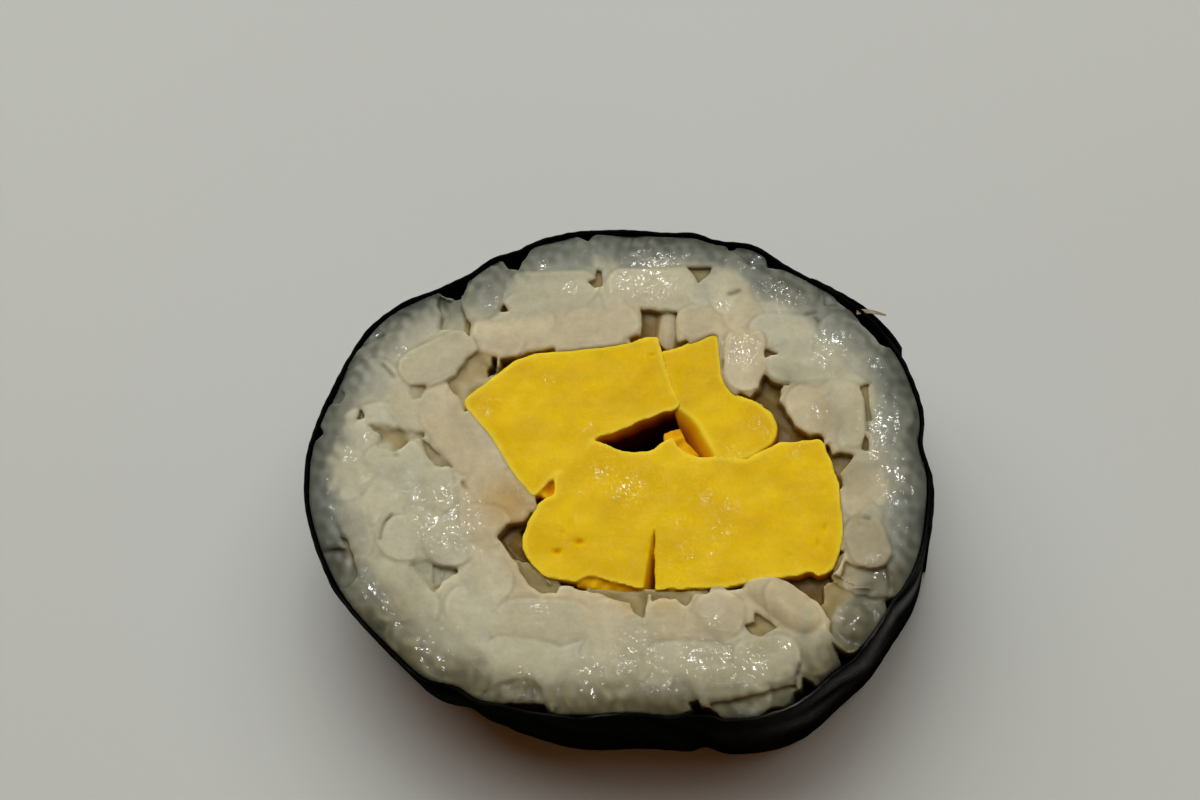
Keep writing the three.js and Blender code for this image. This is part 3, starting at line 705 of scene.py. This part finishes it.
def rice_by_place(x, y, maps, in_rim, seed):
    """The rice's colour on the cut: cream by the omelette, painted shade where the nori shows
    through.
    """
    to_rim = 0.45 * in_rim + 0.55 * maps["rim"] + 0.15 * waves(x, y, 4.0, seed)
    colour = blend(CREAM, WHITE, fade(0.6, 5.4, maps["egg"]))
    # Painted shade where the dark nori shows through: grey along the rim, darker at the nori, in
    # blotches and in spots.
    rim = blend(ASH, OLIVE, fade(-4, -16, y))
    wide = 4.6 - 1.3 * fade(-6, -14, x) * fade(-6, 0, y)
    colour = blend(colour, rim, 1 - fade(0.6, wide, to_rim))
    blotch = 0.5 + 0.5 * waves(x, y, 0.9, seed + 1)
    colour = blend(colour, SHADE_GREY, (1 - fade(0.0, 1.3, to_rim)) * 0.8)
    colour = blend(colour, SHADE_GREY, (1 - fade(1.0, 3.2, in_rim)) * np.clip(blotch, 0, 1) * 0.5)
    colour = blend(colour, SHADE_GREY, 0.8 * spots(SHADES, x, y) * np.clip(0.4 + blotch, 0, 1))
    # A warmer tan in spots beside the omelette.
    colour = blend(colour, SPOT_TAN, spots(TAN_SPOTS, x, y))
    # Painted shade in the dim spots.
    return blend(colour, DULL_SHADE, spots(DIM_SHADE_SPOTS, x, y))


def rice_colour(points, maps, seed):
    """A colour for each point: by place, by grain with painted light at crisp edges, and painted
    shade by depth under the cut.
    """
    x, y, z = points.T
    maps = {key: at(grid, x, y) for key, grid in maps.items()}
    in_rim = at(IN_RIM, x, y)
    light, warm, whole = maps["light"], maps["warm"], maps["whole"]
    # Painted highlight and shadow line at the crisp edges, and painted shade on the low whole
    # grains.
    light = light + 0.13 * maps["edge_highlight"] - 0.27 * maps["line"]
    light = light * (1 - 0.14 * whole)
    tone = np.stack([light + warm, light, light - 1.5 * warm], 1)
    colour = rice_by_place(x, y, maps, in_rim, seed) * tone
    # Painted shade in the seams.
    dark = blend(SHADE_GREY, UMBER, fade(4.0, 7.0, in_rim))
    colour = blend(colour, dark, 0.8 * maps["seam"])
    down = maps["cut"] - z
    wet = np.maximum(fade(0.25, 0.08, down), whole * fade(1.2, 0.7, down))
    wet = wet * (0.03 + 0.75 * spots(GLINTS, x, y))
    in_pit = fade(0.1, 0.25, down) * (1 - whole)
    down = down * (1 - 0.9 * whole)
    edge = 1 - fade(0.5, 4.0, in_rim[:, None])
    # Painted shade in the gaps, darker the deeper they go.
    for inner, outer, top, bottom in DEPTHS:
        colour = blend(colour, inner + (outer - inner) * edge, fade(top, bottom, down))
    # Painted shade along the walls of the pits, lighter in their middles.
    hollow = 0.2 * in_pit * fade(-0.7, -0.1, maps["gap"])
    return np.column_stack([colour * (1 - hollow)[:, None] / LIT, wet])


# ---- The omelette ----

YOLK = srgb(214, 179, 14)
AMBER = srgb(196, 155, 2)
# A painted highlight along the edges of the cut faces.
EGG_EDGE_HIGHLIGHT = srgb(224, 194, 52)
# Down the walls: the browned rind, then painted shade darkening to brown deep in the hollow.
RIND_AND_SHADE = srgb(200, 136, 6)
WALL_SHADE = srgb(150, 82, 10)
HOLLOW_SHADE = srgb(84, 32, 14)
LEVEL_DROP = 0.07  # how far the pressed strips' cut lies under the rice's, mm
SIDE_DROP = 0.16  # the same for the side strip
FACET = 0.1  # how much lower the corner of the side strip is, mm
CRACK_SLANT = 0.33  # how much wider the crack gets, for each mm down
# Pores in the cut: x, y, radius, and how many times as long along Y as along X.
PORES = [
    (-4.3, -6.75, 0.3, 0.6), (-3.9, -5.3, 0.13, 1.6), (-3.3, -4.6, 0.12, 2.6), (-2.7, -6, 0.3, 0.7),
    (14.5, -6.1, 0.17, 1.9), (15.1, -4.9, 0.16, 1.8), (12.4, -7, 0.12, 1.4), (11.2, -4.7, 0.1, 1),
    (3.2, -1.1, 0.1, 1), (15, -1.9, 0.1, 1), (-6.9, 4.4, 0.09, 1), (2.6, 8.9, 0.22, 0.4),
]  # fmt: skip


def pores(x, y):
    """How deep in a pore each place lies, in mm."""
    depth = np.zeros(np.shape(x))
    for px, py, size, tall in PORES:
        depth = depth + 0.8 * size * bell(np.hypot(x - px, (y - py) / tall), size)
    return depth


def cut_of_egg(seed):
    """How the omelette's cut face swells, less its pores."""
    return 0.012 * waves(X, Y * 1.2, 7.0, seed) - pores(X, Y)


def strip_field(outline, top, seed):
    """An omelette strip below its upper cut face."""
    ragged = outline + 0.04 * waves(X, Y, 1.1, seed + 3)
    side = ragged[:, :, None] + 0.05 * np.sin(EGG_Z * 2.1 + X[:, :, None] * 0.4)
    return smax(side, EGG_Z - top[:, :, None], 0.05)


def cut_below(field, seed):
    """Gives a strip its lower cut face, just above the table."""
    bottom = 0.05 + 0.03 * np.abs(waves(X, Y, 4.0, seed + 2))
    return smax(field, bottom[:, :, None] - EGG_Z, 0.15)


def rolled_field(outline, seed):
    """The upper and lower strips, pressed into one, with the crack and the lumps."""
    top = HEIGHT - LEVEL_DROP + cut_of_egg(seed)
    field = strip_field(outline, top, seed)
    tip_x, tip_y = CRACK_TIP
    right = tip_x + 0.03 * waves(X, Y, 1.5, seed + 4) - X
    left = X - (tip_x - CRACK_LEAN * (tip_y - Y))
    crack = np.minimum(right[:, :, None], left[:, :, None] - CRACK_SLANT * (HEIGHT - EGG_Z))
    crack = np.minimum(crack, (tip_y - Y)[:, :, None])
    field = smax(field, crack, 0.06)
    for drop, *corners in LUMPS:
        height = HEIGHT - drop + 0.12 * waves(X, Y, 1.0, seed + 5)
        lump = smax(plan(corners)[:, :, None], EGG_Z - height[:, :, None], 0.2)
        field = smin(field, lump, 0.1)
    return cut_below(field, seed), top


def side_field(outline, seed):
    """The side strip, whose wall slopes into the hollow between the three."""
    facet = FACET * fade(4.9, 4.3, X + 0.25 * (6.5 - Y))
    top = HEIGHT - SIDE_DROP - facet + cut_of_egg(seed)
    field = strip_field(outline, top, seed)
    slope = EGG_Z - (top - 0.95 * np.maximum(outline, 0))[:, :, None]
    field = smin(field, smax(plan(SKIRT)[:, :, None], slope, 0.1), 0.08)
    return cut_below(field, seed), top


def egg_colour(points, outline, top, seed, steep):
    """Yellow on the cut faces with a painted highlight at their edges; down the walls orange rind,
    then painted shade to brown.
    """
    x, y, z = points.T
    inward = -at(outline, x, y)
    down = np.minimum(at(top, x, y) - z, z - 0.08)
    mottle = 0.5 + 0.5 * waves(x, y * 1.6, 6.0, seed) + 0.7 * fade(-3, 3, x) * fade(3, 7, y)
    colour = blend(YOLK, AMBER, np.clip(mottle, 0, 1) * 0.55)
    colour = blend(colour, EGG_EDGE_HIGHLIGHT, 0.7 * bell(inward - 0.1, 0.22) * fade(0.3, 0.12, down))
    colour = colour * (1 + 0.02 * waves(x * 0.5, y, 1.2, seed + 1))[:, None]
    # The pores take the rind colour as painted shade.
    colour = blend(colour, RIND_AND_SHADE, 0.8 * fade(0.03, 0.2, pores(x, y)))
    down = down * steep
    colour = blend(colour, RIND_AND_SHADE, fade(0.15, 1.0, down))
    colour = blend(colour, WALL_SHADE, fade(0.9, 2.2, down))
    colour = blend(colour, HOLLOW_SHADE, fade(2.0, 3.8, down)) / LIT
    return np.column_stack([colour, 0.01 + 0.24 * spots(EGG_GLINTS, x, y)])


# ---- The nori ----

TURN = 0.5  # degrees between the sheet's rows
LAP_SHEET = 0.22  # how thick a lap is, mm
# Soft folds: degrees round, mm out, degrees wide.
FOLDS = [
    (286, 0.28, 0.9), (289.5, -0.2, 1.2), (300, -0.15, 2), (318, 0.16, 3), (331, -0.14, 2.4),
    (262, 0.12, 2.5), (246, -0.12, 3), (205, 0.1, 3),
]  # fmt: skip
BLACK = srgb(8, 9, 8)
SLATE = srgb(15, 17, 13)
SHEEN = srgb(38, 40, 43)  # painted sheen on the right front wall
# Painted highlight along the wet cut edge.
NORI_EDGE_HIGHLIGHT = srgb(80, 82, 80)
FLAKE = srgb(150, 138, 112)
# Where the cut edge is wet and gets its painted highlight: degrees round, 0, degrees wide, how wet.
WET_HIGHLIGHT_PLACES = [(304, 0, 4, 1), (326, 0, 8, 1), (262, 0, 6, 0.5)]


def ring_waves(deg, z, seed, cycles, lean=0.0):
    """Seeded noise round the roll that closes on itself."""
    rng = np.random.default_rng(seed)
    total = np.zeros(np.broadcast(deg, z).shape)
    for _ in range(8):
        n = rng.integers(*cycles)
        phase = rng.uniform(0, 2 * math.pi) + z * rng.uniform(0.05, 0.35) + lean * z
        total = total + np.sin(np.radians(deg) * n + phase)
    return total / math.sqrt(8)


def sheet_radius(deg, z):
    """The outer face of the sheet: the rim with wrinkles, stronger away from the cuts."""
    loose = 0.3 + 0.7 * fade(0, 3, HEIGHT - z) * fade(0, 5, z)
    radius = rim_radius(deg) + 0.05 * loose * ring_waves(deg, z, 5, (6, 26))
    radius = radius + 0.012 * ring_waves(deg, z, 6, (60, 150), lean=0.4)
    for where, out, wide in FOLDS:
        away = half_turn(deg - where - 0.5 * (HEIGHT - z))
        radius = radius + out * fade(2, 9, z) * bell(away, wide)
    return radius - tuck(deg, z)


def lapped(deg, lap):
    """How far a lap stands out from the sheet under it."""
    first, last, thick = lap
    t = ((deg - first) % 360) / (last - first)
    return np.where(t <= 1, thick * np.minimum(1, 2 * (1 - t)), 0)


def sheet_points(deg, outside, thick, edge):
    """Closed cross-section of the sheet at each degree: up the outer face, down the inner."""
    up = np.concatenate([[0.0, 0.06], np.linspace(0.4, 12.5, 20), [12.8, 12.94]])
    across = np.concatenate([np.zeros(len(up)), [0.25, 0.75], np.ones(len(up)), [0.75, 0.25]])
    level = np.concatenate([up, [13, 13], up[::-1], [0, 0]])
    across[len(up) - 1] = 0.08
    across[len(up) + 2] = 0.92
    d, z = np.meshgrid(deg, level / HEIGHT, indexing="ij")
    z = z * (HEIGHT + edge(d))
    r = sheet_radius(d, z) + outside(d) - across[None, :] * thick
    x, y = r * np.cos(np.radians(d)), r * np.sin(np.radians(d))
    return np.stack([x, y, z], 2)


def loft(grid, closed):
    """Quads over rows of closed sections, with lids on the first and last if it is open."""
    rows, ring = grid.shape[:2]
    faces = []
    for i in range(rows if closed else rows - 1):
        a, b = i * ring, (i + 1) % rows * ring
        for j in range(ring):
            k = (j + 1) % ring
            faces.append([a + j, b + j, b + k, a + k])
    if not closed:
        faces.append(list(range(ring)))
        faces.append([(rows - 1) * ring + j for j in range(ring)][::-1])
    return grid.reshape(-1, 3), faces


def joined(parts):
    """Several point and face lists as one."""
    points, faces, start = [], [], 0
    for p, f in parts:
        points.append(p)
        faces += [[n + start for n in face] for face in f]
        start += len(p)
    return np.concatenate(points), faces


def crest(deg):
    """How far the sheet's cut edge wanders from the cut plane."""
    long_waves = 0.07 * ring_waves(deg, 0 * deg, 9, (8, 40))
    return long_waves + 0.03 * ring_waves(deg, 0 * deg, 10, (70, 160))


def sheet_colour(points):
    """Nearly black, with painted sheen on the right front wall and on the wet edge; the fourth
    number is their wetness.
    """
    x, y, z = points.T
    deg = np.degrees(np.arctan2(y, x)) % 360
    streaks = np.clip(0.5 + 0.45 * ring_waves(deg, z, 15, (5, 24), lean=0.6), 0, 1)
    # Painted sheen in streaks across the middle of the right front wall; the wet coat follows it.
    wall = fade(285, 315, deg) * fade(356, 335, deg) * bell(z - 9.0, 3.5) * streaks
    # Painted highlight along the wet cut edge, which also takes the wet coat.
    edge = np.clip(spots(WET_HIGHLIGHT_PLACES, deg, 0 * deg), 0, 1)
    edge = edge * fade(0.12, 0.2, rim_radius(deg) - np.hypot(x, y)) * fade(12.7, 12.9, z) * streaks
    cloud = 0.5 + 0.5 * ring_waves(deg, z, 16, (8, 40), lean=0.5)
    colour = blend(BLACK, SLATE, cloud)
    colour = blend(colour, SHEEN, wall)
    colour = blend(colour, NORI_EDGE_HIGHLIGHT, edge)
    return np.column_stack([colour, np.maximum(0.6 * wall, edge)])


def flake_points():
    """A thin torn flake that lifts off the lap, as a bent sliver."""
    rows = []
    for s in np.linspace(0, 1, 9):
        x, y = 18.1 + 2.2 * s, 12.5 - 0.3 * s + 0.12 * math.sin(4 * s)
        half = 0.16 * (1 - s) ** 0.5 + 0.03
        z = 12.75 + 0.35 * s
        upper = [(x, y + half, z + 0.12), (x, y - half, z + 0.07)]
        rows.append([(x, y - half, z), (x, y + half, z + 0.05), *upper])
    return np.array(rows)


# ---- Materials ----

RIPPLE = 0.000065  # height of the ripples in the wet coat, metres
PALE = srgb(195, 197, 192)  # the surface that the slice lies on
FLOOR_SIDE = 0.9  # from the middle to its edge, metres


class Nodes:
    """A short hand for building a material's node tree."""

    def __init__(self, name):
        self.material = bpy.data.materials.new(name)
        self.material.use_nodes = True
        self.tree = self.material.node_tree
        self.tree.nodes.clear()
        out = self.tree.nodes.new("ShaderNodeOutputMaterial")
        self.shader = self.tree.nodes.new("ShaderNodeBsdfPrincipled")
        self.tree.links.new(self.shader.outputs["BSDF"], out.inputs["Surface"])
        self.mm = self.place()

    def add(self, kind, out=0, props=(), **inputs):
        """A node, its properties and its inputs: numbers are set, sockets are linked."""
        node = self.tree.nodes.new("ShaderNode" + kind)
        for key, value in dict(props).items():
            setattr(node, key, value)
        for key, value in inputs.items():
            self.feed(node.inputs[int(key[1:]) if key[1:].isdigit() else key], value)
        return node.outputs[out]

    def feed(self, socket, value):
        if isinstance(value, bpy.types.NodeSocket):
            self.tree.links.new(value, socket)
        else:
            socket.default_value = value

    def set(self, **inputs):
        for key, value in inputs.items():
            self.feed(self.shader.inputs[key.replace("_", " ")], value)

    def place(self, sx=1.0, sy=1.0, sz=1.0):
        """The object's own coordinates in mm, stretched."""
        where = self.add("TexCoord", out="Object")
        return self.add("Mapping", Vector=where, Scale=(1000 * sx, 1000 * sy, 1000 * sz))

    def noise(self, vector, scale, detail=3.0, rough=0.55):
        return self.add("TexNoise", Vector=vector, Scale=scale, Detail=detail, Roughness=rough)

    def painted(self, out="Color"):
        """What colour each point has, or with "Alpha" how wet it is."""
        return self.add("Attribute", out=out, props={"attribute_name": "tint"})

    def ramp(self, value, low, high, to_low=0.0, to_high=1.0):
        return self.add("MapRange", Value=value, i1=low, i2=high, i3=to_low, i4=to_high)

    def product(self, a, b):
        return self.add("Math", props={"operation": "MULTIPLY"}, i0=a, i1=b)

    def times(self, colour, factor):
        """A colour made lighter or darker by a number."""
        return self.add("VectorMath", props={"operation": "SCALE"}, i0=colour, Scale=factor)

    def bump(self, height, distance, strength=1.0, normal=None):
        extra = {"Normal": normal} if normal is not None else {}
        return self.add("Bump", Height=height, Distance=distance, Strength=strength, **extra)


def food_material(name, stretch, cloud, speck, rough, grain):
    """Damp soft food in its painted colour, with a thin wet coat that glints.

    Cloud, speck and rough are each a noise's scale per mm and the span that it works over.
    Grain is the scale, detail and height in metres of the fine relief.
    """
    m = Nodes(name)
    clouds = m.noise(m.place(stretch), cloud[0], 5.0, 0.6)
    specks = m.noise(m.mm, speck[0], 3.0)
    tone = m.product(m.ramp(clouds, 0.3, 0.7, *cloud[1:]), m.ramp(specks, 0.3, 0.7, *speck[1:]))
    m.set(Base_Color=m.times(m.painted(), tone))
    m.set(Roughness=m.ramp(m.noise(m.mm, rough[0], 2.0), 0.35, 0.65, *rough[1:]))
    m.set(Normal=m.bump(m.noise(m.mm, grain[0], grain[1]), grain[2], 0.5))
    flecks = m.ramp(m.noise(m.mm, 3.2, 1.0), 0.42, 0.56)
    m.set(Coat_Weight=m.product(flecks, m.painted("Alpha")), Coat_Roughness=0.12)
    m.set(Coat_Normal=m.bump(m.noise(m.mm, 1.9, 0.0), RIPPLE))
    return m


def rice_material():
    m = food_material(
        "cooked_rice",
        stretch=1.0,
        cloud=(1.3, 0.91, 1.08),
        speck=(4.0, 0.98, 1.02),
        rough=(0.35, 0.3, 0.42),
        grain=(2.6, 5.0, 0.00003),
    )
    m.set(Subsurface_Weight=0.9, Subsurface_Scale=0.0012, Subsurface_Radius=(1.0, 0.92, 0.75))
    m.set(Specular_IOR_Level=0.12, IOR=1.42)
    return m.material


def egg_material():
    m = food_material(
        "rolled_omelette",
        stretch=0.7,
        cloud=(0.8, 0.93, 1.06),
        speck=(5.0, 0.97, 1.03),
        rough=(0.6, 0.4, 0.55),
        grain=(3.0, 4.0, 0.00001),
    )
    m.set(Subsurface_Weight=0.3, Subsurface_Scale=0.001, Subsurface_Radius=(1.0, 0.55, 0.1))
    m.set(Specular_IOR_Level=0.06, IOR=1.4)
    return m.material


def nori_material():
    m = Nodes("damp_nori")
    fibre = m.noise(m.place(0.5, 0.5, 1.6), 3.0, 5.0, 0.65)
    m.set(Base_Color=m.times(m.painted(), m.ramp(fibre, 0.3, 0.7, 0.6, 1.5)))
    m.set(Roughness=m.ramp(m.noise(m.mm, 0.4, 3.0), 0.3, 0.7, 0.22, 0.42))
    m.set(Specular_IOR_Level=0.0, IOR=1.45)
    weave = m.bump(fibre, 0.00006, 0.5)
    m.set(Normal=m.bump(m.noise(m.mm, 8.0, 2.0), 0.00002, 0.4, weave))
    sheen = m.ramp(fibre, 0.35, 0.65, 0.4, 1.0)
    m.set(Coat_Weight=m.product(sheen, m.painted("Alpha")), Coat_Roughness=0.25)
    return m.material


def floor_material():
    m = Nodes("pale_floor")
    cloud = m.noise(m.mm, 0.009, 2.0)
    shade = m.add("CombineXYZ", **dict(zip("XYZ", PALE)))
    m.set(Base_Color=m.times(shade, m.ramp(cloud, 0.3, 0.7, 0.98, 1.02)))
    m.set(Roughness=0.6, Specular_IOR_Level=0.3)
    return m.material


# ---- Building the pieces ----


def build_rice(material, pocket):
    """Both halves of the rice. The lower one is made lying on its back, then turned over."""

    def on_rice(px, py):
        i, j = int((px - XS[0]) / STEP), int((py - YS[0]) / STEP)
        if not (0 <= i < len(XS) and 0 <= j < len(YS)):
            return False
        inside = rim_radius(math.degrees(math.atan2(py, px))) - math.hypot(px, py)
        return inside > 0.9 and pocket[i, j] > -0.4

    rows = scattered(3, on_rice, (5.0, 7.0), (2.7, 3.3), (-0.03, 0.03)) + CUT_GRAINS
    proud, low = bent(PROUD_GRAINS, 2), bent(LOW_GRAINS, 3)
    upper = rice_field(rows, proud, low, GAPS, DEEP_GAPS, SEAMS, IN_RIM, pocket, 40)
    rows = scattered(7, on_rice, (5.2, 7.2), (2.9, 3.5), (-0.14, 0.0))
    gaps = small_gaps(9, on_rice, 26)
    lower = rice_field(rows, [], [], gaps, [], [], IN_RIM - tuck(ROUND, 0), pocket, 60)
    for name, (field, maps), seed in (("rice_upper", upper, 50), ("rice_lower", lower, 70)):
        points, faces = close_below(*skin(field, XS, YS, RICE_LEVELS))
        colour = rice_colour(points, maps, seed)
        if name == "rice_lower":
            points[:, 2] = HEIGHT - np.minimum(points[:, 2], HEIGHT - 0.01)
            faces = [f[::-1] for f in faces]
        add_piece(name, points, faces, material, colour, "rice", "rice")


def small_gaps(seed, inside, count):
    """Three-cornered gaps strewn over the underside, where inside() holds."""
    rng = np.random.default_rng(seed)
    gaps = []
    while len(gaps) < count:
        x, y = rng.uniform(-WIDTH / 2, WIDTH / 2), rng.uniform(-DEPTH / 2, DEPTH / 2)
        size, start = rng.uniform(0.5, 1.0), rng.uniform(0, 2 * math.pi)
        if inside(x, y):
            turns = start + np.array([0, 0.45, 2.1, 2.5, 4.2, 4.6])
            reach = size * np.array([1, 0.45, 1.1, 0.4, 0.9, 0.45])
            corners = [(x + r * math.cos(t), y + r * math.sin(t)) for r, t in zip(reach, turns)]
            gaps.append((rng.uniform(0.6, 1.3), *corners))
    return gaps


def build_egg(material, rolled, side):
    for name, outline, make, nodes, seed, steep in (
        ("omelette_rolled", rolled, rolled_field, ("omelette_upper", "omelette_lower"), 80, 1.6),
        ("omelette_strip", side, side_field, ("omelette_side",), 90, 2.4),
    ):
        field, top = make(outline, seed)
        points, faces = skin(field, XS, YS, EGG_LEVELS)
        colour = egg_colour(points, outline, top, seed, steep)
        add_piece(name, points, faces, material, colour, "omelette", *nodes)


def build_nori(material):
    deg = np.arange(0, 360, TURN)
    parts = [loft(sheet_points(deg, lambda d: 0 * d, SHEET, crest), True)]
    for lap in LAPS:
        span = np.arange(lap[0], lap[1] + 0.01, TURN)
        grid = sheet_points(
            span,
            outside=lambda d, lap=lap: lapped(d, lap) + 0.02,
            thick=LAP_SHEET,
            edge=lambda d: crest(d + 7) - 0.04,
        )
        parts.append(loft(grid, False))
    black = sum(len(p) for p, _ in parts)
    parts.append(loft(flake_points(), False))
    points, faces = joined(parts)
    colour = sheet_colour(points)
    colour[black:, :3] = FLAKE
    add_piece("nori_sheet", points, faces, material, colour, "nori", "nori", sharp=60)


def build_floor():
    mesh = bpy.data.meshes.new("floor")
    s = FLOOR_SIDE
    mesh.from_pydata([(-s, -s, 0), (s, -s, 0), (s, s, 0), (-s, s, 0)], [], [(0, 1, 2, 3)])
    mesh.materials.append(floor_material())
    floor = bpy.data.objects.new("floor", mesh)
    bpy.context.scene.collection.objects.link(floor)


# ---- Light and camera ----

# Two broad windows shade the slice and leave no reflection: place in metres, colour.
WINDOWS = {
    "left_window": ((-0.27, 0.47, 0.65), (0.915, 0.965, 0.97)),
    "right_window": ((0.09, 0.35, 0.77), (0.885, 0.965, 0.975)),
}
# Three small lamps only glint in the wet spots.
LAMPS = {
    "left_lamp": (-0.067, 0.266, 0.60),
    "right_lamp": (0.048, 0.304, 0.60),
    "near_lamp": (0.038, 0.18, 0.60),
}
WINDOW_SIZE, WINDOW_WATTS = 1.0, 4.5
LAMP_SIZE, LAMP_WATTS = 0.045, 0.55
ROOM = (1.0, 0.42, 0.15, 1)  # the warm light that the shadow takes from the room
ROOM_STRENGTH = 0.12


def area_light(name, place, size, watts, colour=(1, 1, 1)):
    """A round lamp at a place in metres that looks at the origin."""
    data = bpy.data.lights.new(name, "AREA")
    data.shape = "DISK"
    data.size = size
    data.energy = watts
    data.color = colour
    lamp = bpy.data.objects.new(name, data)
    back = np.array(place) / np.linalg.norm(place)
    right = np.cross((0, 1, 0.01), back)
    right = right / np.linalg.norm(right)
    up = np.cross(back, right)
    lamp.matrix_world = frame_matrix(right, up, back, place)
    bpy.context.scene.collection.objects.link(lamp)
    return lamp


def frame_matrix(right, up, back, place):
    rows = [[right[n], up[n], back[n], place[n]] for n in range(3)]
    return Matrix(rows + [[0, 0, 0, 1]])


def light_scene():
    for name, (place, colour) in WINDOWS.items():
        area_light(name, place, WINDOW_SIZE, WINDOW_WATTS, colour).visible_glossy = False
    for name, place in LAMPS.items():
        area_light(name, place, LAMP_SIZE, LAMP_WATTS).visible_diffuse = False
    world = bpy.data.worlds.new("studio")
    bpy.context.scene.world = world
    world.use_nodes = True
    sky = world.node_tree.nodes["Background"]
    sky.inputs["Color"].default_value = ROOM
    sky.inputs["Strength"].default_value = ROOM_STRENGTH


# The photograph's camera, as found from the slice: it looks down from the front.
PHOTO = (1200, 800)  # pixels
ELEVATION = 68.0
REACH = 168.0  # from the camera to the middle of the upper face, mm
FOCAL = 629 / WIDTH * REACH  # pixels: the slice is 629 across at that distance
SENSOR = 36  # mm
CENTRE_PIXEL = (617, 476)  # where the middle of the upper face shows
AIM = (-0.03, 0.90)  # from that middle to the outline's middle, mm


def camera():
    turn = math.atan((CENTRE_PIXEL[0] - PHOTO[0] / 2) / FOCAL)
    tilt = math.radians(ELEVATION) - math.atan((CENTRE_PIXEL[1] - PHOTO[1] / 2) / FOCAL)
    level = np.array([0, math.cos(tilt), -math.sin(tilt)])
    side = np.array([1.0, 0, 0])
    ahead = level * math.cos(turn) - side * math.sin(turn)
    right = side * math.cos(turn) + level * math.sin(turn)
    up = np.cross(right, ahead)
    high = math.radians(ELEVATION)
    place = np.array([0, -REACH * math.cos(high), HEIGHT + REACH * math.sin(high)])
    place[0] += MIDDLE[0] - AIM[0]
    place[1] += MIDDLE[1] - AIM[1]
    data = bpy.data.cameras.new("camera")
    data.sensor_width = SENSOR
    data.lens = FOCAL * SENSOR / PHOTO[0]
    data.clip_start, data.clip_end = 0.01, 10
    eye = bpy.data.objects.new("camera", data)
    eye.matrix_world = frame_matrix(right, up, -ahead, place / 1000)
    bpy.context.scene.collection.objects.link(eye)
    bpy.context.scene.camera = eye


# ---- The scene ----


def build():
    outlines = (EGG_UPPER, EGG_SIDE, EGG_LOWER)
    upper, side, lower = (plan(smooth_ring(corners)) for corners in outlines)
    rolled = smin(upper, lower, 0.12)
    egg = smin(rolled, side, 1.2)
    cavity = plan(smooth_ring(CAVITY)) - 0.4  # no rice is left between it and the strips
    pocket = np.minimum(np.minimum(egg, plan(NOTCH)), cavity)
    for _, *corners in LUMPS:
        pocket = np.minimum(pocket, plan(corners))
    build_rice(rice_material(), pocket)
    build_egg(egg_material(), rolled, side)
    build_nori(nori_material())


build()
build_floor()
light_scene()
camera()
bpy.context.scene.view_settings.view_transform = "Standard"
